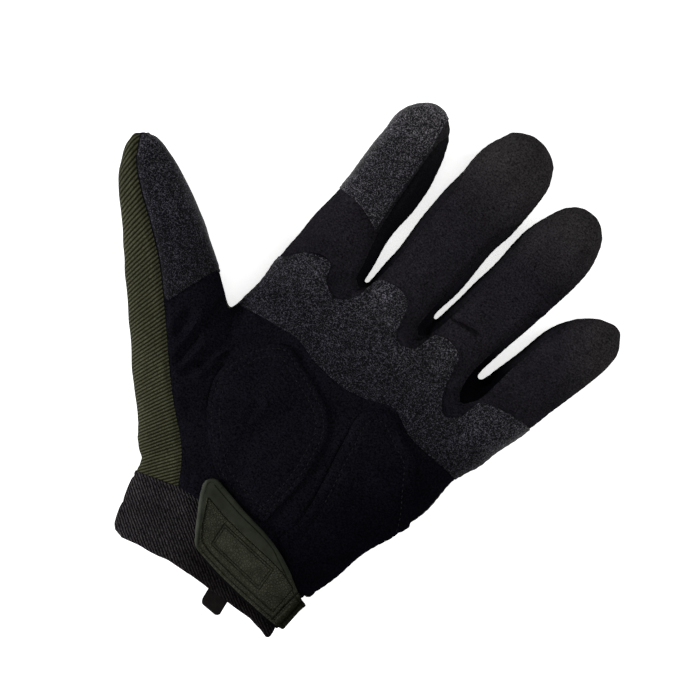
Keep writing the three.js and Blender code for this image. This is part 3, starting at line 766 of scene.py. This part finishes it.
class WristWrap:
    """Lays flat shapes over the wrist: x becomes the way round it, from the palm side to the back."""

    STEP = 0.25
    YS = (-116, -68, 1.0)
    WAYS = (-40, 110, STEP)
    ANGLES = (175, -175, -0.25)
    POWER = 2.55
    TOP_DEPTH = 4
    HAND_ENDS = (-92.0, -84.0)

    def __init__(self):
        self.ys = np.arange(*self.YS)
        self.ways = np.arange(*self.WAYS)
        first, last = self.HAND_ENDS
        rows = []
        for y in self.ys:
            spot = np.array([y])
            hand, cuff = row_at(TUBES["palm"][3], spot)[0], row_at(CUFF_TUBE[3], spot)[0]
            columns = cuff + (hand - cuff) * np.clip((y - first) / (last - first), 0, 1)
            x, z = section(columns, self.POWER, np.radians(np.arange(*self.ANGLES)))
            way = np.append(0, np.cumsum(np.hypot(np.diff(x), np.diff(z))))
            on_top = z >= columns[3] - self.TOP_DEPTH
            way -= way[np.argmin(np.where(on_top, np.abs(x - WRIST_MIDDLE), FAR))]
            xs, zs = np.interp(self.ways, way, x), np.interp(self.ways, way, z)
            dx, dz = np.gradient(xs), np.gradient(zs)
            length = np.maximum(np.hypot(dx, dz), 1e-6)
            rows.append(np.stack([xs, zs, -dz / length, dx / length], 1))
        self.table = np.array(rows)

    def at(self, ways, ys):
        """Place and outward direction at each way round and each y."""
        j = np.clip((ys - self.ys[0]), 0, len(self.ys) - 1.001)
        i = np.clip((ways - self.ways[0]) / self.STEP, 0, len(self.ways) - 1.001)
        j0, i0 = j.astype(int), i.astype(int)
        fj, fi = (j - j0)[:, None], (i - i0)[:, None]
        table = self.table
        low = table[j0, i0] * (1 - fi) + table[j0, i0 + 1] * fi
        high = table[j0 + 1, i0] * (1 - fi) + table[j0 + 1, i0 + 1] * fi
        return low * (1 - fj) + high * fj

    def flat(self, outline):
        """An outline seen from above, with its x turned into the way round."""
        made = []
        for x, y in outline:
            spots = self.at(self.ways, np.full(len(self.ways), float(y)))
            last = np.argmax(spots[:, 0]) + 1
            made.append((np.interp(x, spots[:last, 0], self.ways[:last]), y))
        return made

    def lay(self, thing):
        points = points_of(thing)
        spots = self.at(points[:, 0], points[:, 1])
        x = spots[:, 0] + spots[:, 2] * points[:, 2]
        z = spots[:, 1] + spots[:, 3] * points[:, 2]
        move_to(thing, np.stack([x, points[:, 1], z], 1))
        return thing


WRAP = WristWrap()


def rounded(outline, radius, steps=7, longest=0.48):
    """An outline with an arc at each corner, over at most that share of each side."""
    corners = np.array(outline, float)
    made = []
    for before, corner, after in zip(np.roll(corners, 1, 0), corners, np.roll(corners, -1, 0)):
        start, end = (
            corner + (side - corner) * min(radius / np.linalg.norm(side - corner), longest)
            for side in (before, after)
        )
        for t in np.linspace(0, 1, steps):
            made.append((1 - t) ** 2 * start + 2 * t * (1 - t) * corner + t**2 * end)
    return np.array(made)


def round_off(shape, rims, offset, segments):
    bmesh.ops.bevel(
        shape, geom=rims, offset=offset * MM, segments=segments, profile=0.5, affect="EDGES",
        material=-1)


def slab(name, outline, low, high, rim):
    """A flat moulded slab with rounded rims above and below."""
    thing = prism(outline, low, high)
    thing.name = name
    with editing(thing) as shape:
        rims = list({e for f in shape.faces if abs(f.normal.z) > 0.9 for e in f.edges})
        round_off(shape, rims, rim, 3)
    return thing


def stroke(line, width):
    """The outline of a band of that width along a line."""
    points = np.array(line, float)
    ahead = np.gradient(points, axis=0)
    ahead /= np.linalg.norm(ahead, axis=1)[:, None]
    side = np.stack([-ahead[:, 1], ahead[:, 0]], 1) * width / 2
    return np.vstack([points + side, (points - side)[::-1]])


def cross_cuts(shape, xs):
    """Cuts a shape through at each x, in metres, so that it can bend there."""
    for x in xs:
        whole = shape.verts[:] + shape.edges[:] + shape.faces[:]
        bmesh.ops.bisect_plane(shape, geom=whole, plane_co=(x, 0, 0), plane_no=(1, 0, 0))


def laid(thing):
    """A flat moulded piece, cut across and laid round the wrist."""
    with editing(thing) as shape:
        xs = [v.co.x for v in shape.verts]
        cross_cuts(shape, np.arange(min(xs) + BEND_STEP * MM, max(xs), BEND_STEP * MM))
        bmesh.ops.triangulate(shape, faces=[f for f in shape.faces if len(f.verts) > 4])
    return WRAP.lay(thing)


def wrapped(plan, corner, band):
    """A plan outline with rounded corners, carried on round the wrist as an even band."""
    low, high, start, end = (band[key] for key in ("low", "high", "start", "end"))
    return rounded([*WRAP.flat(plan), (start, high), (end, high), (end, low), (start, low)], corner)


def ring_cutter(outline, width, low, high):
    """A closed line of that width along an outline, as a solid."""
    ring = prism(outline, low, high)
    core = prism(grown(outline, -width), low - 1, high + 1)
    cut(ring, core)
    discard(core)
    return ring


def groove(line, width, depth):
    """A solid that cuts a groove of that width and depth into the top of the tab."""
    return prism(stroke(line, width), TAB["high"] - depth, TAB["high"] + CLEAR)


def ridge(outline, sizes):
    """A raised part with rounded rims, sunk a little into the top of the tab."""
    high = TAB["high"]
    return slab("ridge", outline, high - sizes["sink"], high + sizes["height"], sizes["rim"])


def closure_tab():
    """The moulded tab: rim, sunk panel, drawn lines, a framed field and creases across its end."""
    floor = TAB["high"] - TAB["recess"]
    width, depth = TAB_LINE["width"], TAB_LINE["depth"]
    outline = wrapped(TAB_PLAN, TAB["corner"], TAB_BAND)
    tab = slab("wrist_tab", outline, TAB["low"], TAB["high"], TAB["rim"])
    panel = rounded(WRAP.flat(TAB_PANEL), TAB["panel_corner"])
    frame = np.array(WRAP.flat(TAB_FRAME))
    inner = grown(frame, -TAB_LINE["frame_gap"])
    cutters = [prism(panel, floor, TAB["high"] + CLEAR)]
    band_xs = (TAB_BAND["start"], TAB_BAND["end"] - TAB_LINE["end_gap"])
    top_y, low_y = TAB_BAND["high"] - TAB_LINE["margin"], TAB_BAND["low"] + TAB_LINE["margin"]
    for line, y in ((TAB_TOP_LINE, top_y), (TAB_LOW_LINE, low_y)):
        line = smooth_line([*WRAP.flat(line), *((x, y) for x in band_xs)])
        cutters.append(groove(line, width, depth))
    cutters += [
        ring_cutter(grown(panel, -TAB_LINE["panel_gap"]), width, floor - depth, floor + 1),
        ring_cutter(frame, width, floor - depth, floor + 1),
        ring_cutter(inner, width, floor - depth * TAB_LINE["inner_share"], floor + 1),
    ]
    for place in TAB_CREASES["x"]:
        line = WRAP.flat([[place + x, y] for x, y in TAB_CREASES["line"]])
        cutters.append(groove(line, TAB_CREASES["width"], TAB_CREASES["depth"]))
    for cutter in cutters:
        cut(tab, cutter)
    bar = stroke(WRAP.flat(TAB_BAR["line"]), TAB_BAR["width"])
    bar = ridge(rounded(bar, TAB_BAR["corner"], TAB_BAR["corner_steps"]), TAB_BAR)
    bead = ridge(stroke(smooth_line(WRAP.flat(TAB_BEAD["line"])), TAB_BEAD["width"]), TAB_BEAD)
    cut(tab, bar, "UNION")
    cut(tab, bead, "UNION")
    discard(bar, bead, *cutters)
    return laid(tab)


def closure_strap():
    """The hook and loop strap under the tab."""
    outline = wrapped(STRAP_PLAN, STRAP["corner"], STRAP_BAND)
    return laid(slab("hook_strap", outline, STRAP["low"], STRAP["high"], STRAP["rim"]))


def pull_tab():
    """Woven tape folded back on itself under the cuff's edge."""
    left, right, end, straight = (TAPE[key] for key in ("left", "right", "end", "straight"))
    inside, outside = TAPE["slit"] / 2, TAPE["thickness"] + TAPE["slit"] / 2
    middle, centre = TAPE["top"] - outside, end + outside
    bend = np.radians(np.linspace(90, -90, TAPE["steps"]))

    def layer(radius):
        arc = [(centre - radius * math.cos(a), middle + radius * math.sin(a)) for a in bend]
        return [(TAPE["inside"], middle + radius), *arc, (TAPE["inside"], middle - radius)]

    profile = [*layer(outside), *reversed(layer(inside))]
    piece = extruded("pull_tape", [(left, y, z) for y, z in profile], (right - left, 0, 0))
    with editing(piece) as shape:
        cross_cuts(shape, np.linspace(left, right, TAPE["steps"])[1:-1] * MM)
        rims = [
            e for e in shape.edges if len(e.link_faces) == 2 and e.calc_face_angle(0) > 0.8
            and abs(e.verts[0].co.x - e.verts[1].co.x) < 1e-6
        ]
        round_off(shape, rims, TAPE["rim"], 2)
    points = points_of(piece)
    out = np.clip((points[:, 1] - TAPE["mouth"]) / (end - TAPE["mouth"]), -1, 1)
    edge = np.clip(np.abs(points[:, 0] * 2 - left - right) / (right - left), 0, 1)
    corner = np.clip((edge - straight) / (1 - straight), 0, 1)
    points[:, 1] += TAPE["draw_back"] * corner**2 * np.clip(out, 0, 1) ** 2
    points[:, 0] += TAPE["lean"] * out - TAPE["shift"]
    move_to(piece, points)
    return piece


def inset_rows(outlines, distances):
    """Stitch lines that follow closed outlines at the given distances inside them."""
    inner = [grown(outline, -distance) for outline in outlines for distance in distances]
    return [np.vstack([line, line[:1]]) for line in inner]


def clear_of_tab(x, y):
    """Whether a place on the thumb's pad lies clear of the wrist tab."""
    return y > -72 + min(x, 0) * 0.2


def stitches(name, rows, grounds, length=1.5, pitch=2.3, thickness=0.3, keep=None):
    """Rows of thread stitches that lie on the surfaces under them."""
    graph = bpy.context.evaluated_depsgraph_get()
    trees = [BVHTree.FromObject(ground, graph) for ground in grounds]
    shape = bmesh.new()
    dice = random.Random(name)
    for row in rows:
        steps = np.append(0, np.cumsum(np.linalg.norm(np.diff(row, axis=0), axis=1)))
        for way in np.arange(pitch / 2, steps[-1], pitch):
            spot, ahead = (
                [np.interp(w, steps, row[:, k]) for k in (0, 1)] for w in (way, way + STITCH["ahead"])
            )
            if keep and not keep(*spot):
                continue
            ends = []
            facing = 1.0
            for x, y in (spot, ahead):
                hits = [tree.ray_cast(Vector((x, y, TALL)) * MM, Vector((0, 0, -1))) for tree in trees]
                hits = [hit for hit in hits if hit[0] is not None]
                if hits:
                    best = max(hits, key=lambda hit: hit[0].z)
                    facing = best[1].z
                    ends.append(best[0])
            if len(ends) < 2 or facing < STITCH["steepest"]:
                continue
            step = ends[1] - ends[0]
            if step.length > STITCH["gap"] * MM:
                continue
            made = bmesh.ops.create_icosphere(shape, subdivisions=1, radius=1)["verts"]
            turn = step.normalized().to_track_quat("X", "Z").to_matrix().to_4x4()
            turn = turn @ Matrix.Rotation(dice.uniform(-STITCH["sway"], STITCH["sway"]), 4, "Z")
            height = thickness * STITCH["flatness"]
            sizes = Matrix.Diagonal((length / 2 * MM, thickness * MM, height * MM, 1))
            bmesh.ops.transform(shape, matrix=Matrix.Translation(ends[0]) @ turn @ sizes, verts=made)
    return to_object(name, shape)


class Value:
    """A socket of a finish, so that shader maths reads as arithmetic."""

    def __init__(self, finish, socket):
        self.finish = finish
        self.socket = socket

    def __add__(self, other):
        return self.finish.math("ADD", self, other)

    def __radd__(self, other):
        return self.finish.math("ADD", other, self)

    def __sub__(self, other):
        return self.finish.math("SUBTRACT", self, other)

    def __rsub__(self, other):
        return self.finish.math("SUBTRACT", other, self)

    def __mul__(self, other):
        return self.finish.math("MULTIPLY", self, other)

    def __rmul__(self, other):
        return self.finish.math("MULTIPLY", other, self)


class Finish:
    """A node material, with its even values set on the shader itself."""

    def __init__(self, name, roughness, specular):
        self.material = bpy.data.materials.new(name)
        self.material.use_nodes = True
        self.nodes = self.material.node_tree.nodes
        self.links = self.material.node_tree.links
        self.shader = self.nodes["Principled BSDF"]
        self.shader.inputs["Roughness"].default_value = roughness
        self.shader.inputs["Specular IOR Level"].default_value = specular
        self.place = self.node("ShaderNodeTexCoord", {}, output="Object")
        spread = self.node("ShaderNodeSeparateXYZ", {0: self.place}).socket.node
        self.x, self.y, self.z = (Value(self, spread.outputs[k]) for k in range(3))

    def feed(self, socket, value):
        if isinstance(value, Value):
            self.links.new(value.socket, socket)
        else:
            socket.default_value = value

    def node(self, kind, values, output=0, **settings):
        """Adds a node with its settings and the values or links of its sockets."""
        made = self.nodes.new(kind)
        for name, value in settings.items():
            setattr(made, name, value)
        for key, value in values.items():
            self.feed(made.inputs[key], value)
        return Value(self, made.outputs[output])

    def math(self, operation, first, second=0.0):
        return self.node("ShaderNodeMath", {0: first, 1: second}, operation=operation)

    def noise(self, scale, detail=2.0, roughness=0.5, distortion=0.0, vector=None):
        values = {
            "Vector": vector or self.place, "Scale": scale, "Detail": detail,
            "Roughness": roughness, "Distortion": distortion,
        }
        return self.node("ShaderNodeTexNoise", values)

    def ramp(self, value, low, high):
        """The value carried from its range between low and high to the range 0 to 1."""
        values = {"Value": value, "From Min": low, "From Max": high}
        return self.node("ShaderNodeMapRange", values, clamp=True, interpolation_type="SMOOTHSTEP")

    def mix(self, factor, first, second):
        """A colour between two colours."""
        first, second = ((*c, 1) if isinstance(c, tuple) else c for c in (first, second))
        return self.node("ShaderNodeMix", {0: factor, 6: first, 7: second}, output=2, data_type="RGBA")

    def shaded(self, colour, factor):
        """A colour made darker or lighter by a factor."""
        return self.node("ShaderNodeVectorMath", {0: colour, "Scale": factor}, operation="SCALE")

    def fibres(self, along, across, turn, detail=2.0, roughness=0.6):
        """Noise drawn out along one direction seen from above."""
        values = {"Vector": self.place, "Rotation": (0, 0, turn), "Scale": (along, across, across)}
        return self.noise(1.0, detail, roughness, vector=self.node("ShaderNodeMapping", values))

    def finish(self, colour, height=None, bump=0.5, distance=0.2, roughness=None):
        self.feed(self.shader.inputs["Base Color"], colour)
        if roughness is not None:
            self.feed(self.shader.inputs["Roughness"], roughness)
        if height is not None:
            values = {"Strength": bump, "Distance": distance * MM, "Height": height}
            self.feed(self.shader.inputs["Normal"], self.node("ShaderNodeBump", values))
        return self.material


def painted_tip_light(f, low, middle, tips):
    """A palm colour with painted light: it grows lighter up the fingers and once more at their tips."""
    up = f.ramp(f.y, -0.01, 0.035)
    little_finger = f.math("MAXIMUM", f.x - 0.052, 0.0)
    end = f.ramp(f.y + little_finger * 1.3, 0.065, 0.1)
    return f.mix(end, f.mix(up, low, middle), tips)


def patchy(value, spread):
    """A noise value stretched to lie about 1."""
    return (value - 0.5) * spread + 1


def at_least(least, value):
    return value.finish.math("MAXIMUM", value, least)


def suede():
    """Black suede-like cloth: a short matt nap, faint cloudy patches, painted light at the fingertips
    and painted shade on the heel.
    """
    f = Finish("suede", roughness=1.0, specular=0.0)
    nap = f.noise(1500, 2.0, 0.6)
    fibre = f.fibres(700, 2400, 0.5, roughness=0.55)
    cloud = f.noise(75, 3.0, 0.6)
    # Painted shade: a darker tone low on the palm towards the little finger's side of the heel
    heel = f.ramp(f.x - f.y * 0.4, 0.03, 0.07) * (1 - f.ramp(f.y, -0.025, 0.01))
    tone = f.mix(heel, painted_tip_light(f, *SUEDE_TONES), (0.0022, 0.0020, 0.0034))
    shade = at_least(0.15, patchy(nap, 3.4) * patchy(fibre, 1.2) * patchy(cloud, 0.9))
    return f.finish(f.shaded(tone, shade), nap * 0.8 + fibre * 0.4 + cloud * 0.6, 0.5, 0.25)


def side_cloth():
    """Black smooth stretch cloth of the finger sides, with painted shade at the base of each gap,
    darkest at the base of the ring and little finger's gap.
    """
    f = Finish("side_cloth", roughness=0.95, specular=0.0)
    knit = f.fibres(1200, 2600, 1.5, detail=1.0, roughness=0.5)
    lit = f.ramp(f.y, 0.03, 0.052) * f.ramp(f.x, -0.019, -0.013)
    tone = f.mix(lit, painted_tip_light(f, *SIDE_TONES), painted_tip_light(f, *SIDE_LIT_TONES))
    # Painted shade at the base of the gaps between the fingers, darkest between the ring and little
    # fingers
    gap_base_shade = f.mix(f.ramp(f.x, 0.03, 0.04), (0.0034, 0.0032, 0.0044), (0.0010, 0.0010, 0.0015))
    tone = f.mix(f.ramp(f.y, 0.03, 0.04), gap_base_shade, tone)
    return f.finish(f.shaded(tone, patchy(knit, 2.0)), knit, 0.4, 0.15)


def grip_rubber():
    """Black rubber print with a fine crinkled grain whose ridges carry painted glints: lighter colour in
    place of the light they catch.
    """
    f = Finish("grip_rubber", roughness=0.5, specular=0.05)
    winding = f.math("ABSOLUTE", f.noise(1050, 1.5, 0.5, 0.6) - 0.5)
    worms = 1 - f.ramp(winding, 0.012, 0.065)
    broken = f.ramp(f.noise(2100, 1.0), 0.36, 0.6)
    grain = worms * (broken * 0.8 + 0.2)
    cloud = f.noise(60, 2.0)
    tone = f.mix(grain, painted_tip_light(f, *VALLEY_TONES), painted_tip_light(f, *RIDGE_GLINT_TONES))
    return f.finish(f.shaded(tone, patchy(cloud, 1.2)), grain, 0.7, 0.2, roughness=0.6 - grain * 0.2)


def ribbed_cloth():
    """Olive stretch cloth: corded ribs that fan out slowly from far below the thumb."""
    f = Finish("ribbed_cloth", roughness=0.9, specular=0.03)
    fan = f.math("ARCTAN2", f.y + 0.217, f.x + 0.116)
    turn_under = f.ramp(f.x * -1, 0.098, 0.112) * 0.008 + 0.012
    depth = f.math("MINIMUM", at_least(0.003, f.z) - turn_under, 0.0)
    phase = fan * (2 * math.pi / 0.00765) + depth * depth * 330000
    wobble = f.noise(260, 2.0) * 1.2
    rib = f.math("SINE", phase + wobble) * 0.5 + 0.5
    cord = f.math("POWER", at_least(0.0, rib), 0.9)
    thread = f.fibres(2300, 1500, 0.9)
    cloud = f.noise(40, 2.0)
    tone = f.mix(cord, (0.0028, 0.0031, 0.0011), (0.0470, 0.0474, 0.0270))
    shade = at_least(0.1, patchy(thread, 2.6) * patchy(cloud, 0.6))
    return f.finish(f.shaded(tone, shade), cord + thread * 0.3, 0.8, 0.4)


def cuff_knit():
    """Black knit with fine slanting ribs of short threads, darker on its outer side with painted shade
    under and beside the tab.
    """
    f = Finish("cuff_knit", roughness=0.95, specular=0.0)
    turn = math.radians(61)
    waves = 2 * math.pi / 0.00109
    across = f.x * (math.cos(turn) * waves) + f.y * (math.sin(turn) * waves)
    rib = f.math("SINE", across + f.noise(520, 2.5) * 5.0) * 0.5 + 0.5
    thread = f.fibres(1900, 1300, -turn)
    cloud = f.noise(70, 2.0)
    tone = f.mix(rib, (0.0012, 0.0011, 0.0014), (0.0278, 0.0250, 0.0268))
    # Painted shade: the knit is darker on the outer side, under and beside the tab
    outer = f.ramp(f.x + f.y * 0.3, -0.038, -0.018)
    tone = f.mix(outer, tone, f.mix(rib, (0.0016, 0.0013, 0.0015), (0.0108, 0.0092, 0.0098)))
    shade = at_least(0.1, patchy(thread, 4.6) * patchy(cloud, 0.9))
    return f.finish(f.shaded(tone, shade), rib + thread * 0.6, 0.8, 0.35)


def olive_rubber():
    """Olive moulded rubber: pebbled inside its bead, smooth on it and lighter there with a painted
    highlight, and dark round the side with painted shade.
    """
    f = Finish("olive_rubber", roughness=0.6, specular=0.0)
    wander = f.node("ShaderNodeTexNoise", {"Vector": f.place, "Scale": 500.0}, output=1)
    moved = {0: wander, 1: (0.0006, 0.0006, 0.0006), 2: f.place}
    spots = f.node("ShaderNodeVectorMath", moved, operation="MULTIPLY_ADD")
    values = {"Vector": spots, "Scale": 950.0}
    cells = f.node("ShaderNodeTexVoronoi", values, feature="DISTANCE_TO_EDGE")
    grain = f.ramp(cells, 0.0, 0.28)
    scuff = f.noise(240, 3.0)
    inward = f.x * 0.864 + f.y * 0.506 + 0.0486
    above_panel = f.ramp(f.y + f.x * 0.08, -0.0814, -0.0806)
    smooth = 1 - (1 - above_panel) * f.ramp(inward, 0.0023, 0.0028)
    field = f.ramp(f.x, 0.003, 0.008) * (1 - f.ramp(f.x, 0.031, 0.036))
    pebbled = f.mix(grain, (0.0182, 0.0193, 0.0132), (0.0306, 0.0320, 0.0228))
    tone = f.mix(smooth, pebbled, (0.0160, 0.0180, 0.0128))
    # Painted highlight: the bead along the tab's rim is lighter
    tone = f.mix(1 - f.ramp(inward, 0.0012, 0.0022), tone, (0.0360, 0.0395, 0.0310))
    # Painted shade: dark where the tab's outer end turns down round the side of the wrist
    tone = f.mix(f.ramp(f.x, 0.0462, 0.0484), tone, (0.0088, 0.0094, 0.0058))
    relief = grain * (1 - smooth) * (1 - field * 0.6) + scuff * 0.3
    colour = f.shaded(tone, patchy(scuff, 1.2))
    return f.finish(colour, relief, 1.0, 0.4, roughness=0.6 - grain * 0.1)


def hook_loop():
    """Black hook and loop pile."""
    f = Finish("hook_loop", roughness=1.0, specular=0.0)
    pile = f.noise(1500, 2.0, 0.7)
    colour = f.shaded(f.mix(pile, (0.0012, 0.0012, 0.0015), (0.0080, 0.0080, 0.0090)), 0.9)
    return f.finish(colour, pile, 1.0, 0.5)


def woven_tape():
    """Brownish black woven tape."""
    f = Finish("woven_tape", roughness=0.75, specular=0.06)
    along = f.math("SINE", f.y * (2 * math.pi / 0.0009))
    across = f.math("SINE", f.x * (2 * math.pi / 0.0007))
    weave = along * across * 0.5 + 0.5
    tone = f.mix(weave, (0.0020, 0.0013, 0.0013), (0.0060, 0.0042, 0.0042))
    return f.finish(f.shaded(tone, patchy(f.noise(500), 1.5)), weave, 0.6, 0.2)


def thread():
    """Black sewing thread."""
    f = Finish("thread", roughness=0.8, specular=0.02)
    twist = f.noise(3000, 1.0)
    return f.finish(f.mix(twist, (0.0045, 0.0043, 0.0055), (0.0125, 0.0120, 0.0145)), twist, 0.4, 0.1)


def dress(piece, node, material, soft_edges=35):
    """Gives a finished piece its material and its place in the frame."""
    piece.data.materials.clear()
    piece.data.materials.append(material)
    piece.data.shade_smooth()
    piece.data.set_sharp_from_angle(angle=math.radians(soft_edges))
    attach(piece, "root")
    if node:
        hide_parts(node)


def photo_view():
    """A camera straight above, turned so that the fingers point up to the right."""
    camera = bpy.data.objects.new("photo_view", bpy.data.cameras.new("photo_view"))
    camera.location = (0, 0, VIEW["height"] * MM)
    camera.rotation_euler = (0, 0, math.radians(VIEW["turn"]))
    camera.data.sensor_width = VIEW["sensor"]
    camera.data.lens = VIEW["sensor"] * (VIEW["height"] - VIEW["level"]) / VIEW["across"]
    bpy.context.scene.collection.objects.link(camera)
    bpy.context.scene.camera = camera


def soft_light(name, place, size, watts):
    """An area light that points at the glove."""
    lamp = bpy.data.objects.new(name, bpy.data.lights.new(name, "AREA"))
    lamp.data.shape = "DISK"
    lamp.data.size = size
    lamp.data.energy = watts
    lamp.location = place
    lamp.rotation_euler = (-Vector(place)).to_track_quat("-Z", "Y").to_euler()
    bpy.context.scene.collection.objects.link(lamp)


def studio():
    """A near-white table under soft light from the left, above and past the fingertips."""
    shape = bmesh.new()
    bmesh.ops.create_grid(shape, x_segments=1, y_segments=1, size=TABLE["half"])
    floor = to_object("table", shape)
    floor.location.z = -TABLE["drop"]
    f = Finish("table_white", roughness=0.9, specular=0.1)
    f.shader.inputs["Emission Color"].default_value = (1, 1, 1, 1)
    f.shader.inputs["Emission Strength"].default_value = TABLE["glow"]
    tone = f.mix(f.noise(3.0), (0.90, 0.90, 0.90), (0.92, 0.92, 0.92))
    floor.data.materials.append(f.finish(tone))
    world = bpy.data.worlds.new("studio")
    bpy.context.scene.world = world
    world.use_nodes = True
    sky = world.node_tree.nodes["Background"]
    sky.inputs["Color"].default_value = (1, 1, 1, 1)
    sky.inputs["Strength"].default_value = SKY_STRENGTH
    for name, (place, size, watts) in LIGHTS.items():
        soft_light(name, place, size, watts)
    bpy.context.scene.view_settings.view_transform = "Standard"


photo_view()
studio()

hand = tubes_object("hand_form", 0.0, CLOTH)
sculpt(hand)
panels = hand_panels(hand)
grips = {
    name: overlay(name, hand, line, PATCH, GRIP_ROWS, wraps=name == "thumb_grip")
    for name, line in GRIP_LINES.items()
}
thenar = overlay("thenar_padding", hand, THENAR_LINE, PAD, THENAR_ROWS)
heel = overlay("heel_padding", hand, HEEL_LINE, PAD, HEEL_ROWS)
discard(hand)
cuff = cuff_band()
tab = closure_tab()
strap = closure_strap()
tape = pull_tab()

black_suede = suede()
side = side_cloth()
grip = grip_rubber()
black_thread = thread()
dress(panels["palm_panel"], "palm_panel", black_suede)
dress(panels["back_panel"], "back_panel", ribbed_cloth())
for strip in STRIPS:
    dress(panels[strip], strip, side)
for name, piece in grips.items():
    dress(piece, f"{name}_patch", grip)
dress(thenar, "thenar_pad", black_suede)
dress(heel, "heel_pad", black_suede)
dress(cuff, "cuff_band", cuff_knit())
dress(strap, "closure_strap", hook_loop())
dress(tab, "closure_tab", olive_rubber(), 50)
dress(tape, "pull_tab", woven_tape(), 50)

thenar_thread = stitches(
    "thenar_stitches", inset_rows([THENAR_LINE], THENAR_ROWS), [thenar], keep=clear_of_tab)
heel_thread = stitches(
    "heel_stitches", inset_rows([HEEL_LINE], HEEL_ROWS), [heel], keep=lambda x, y: y > -52)
grip_thread = stitches(
    "grip_stitches", inset_rows(GRIP_LINES.values(), GRIP_ROWS), list(grips.values()), length=1.3,
    pitch=2.1)
cuff_thread = stitches(
    "cuff_stitches", [WRIST_CURVE - (0, CUFF_ROW)], [cuff], length=1.3, pitch=2.0,
    keep=lambda x, y: x < -9)
for row, slot in (
    (thenar_thread, "suede"), (heel_thread, "suede"), (grip_thread, "grip_rubber"),
    (cuff_thread, "cuff_knit"),
):
    dress(row, None, black_thread, 80)
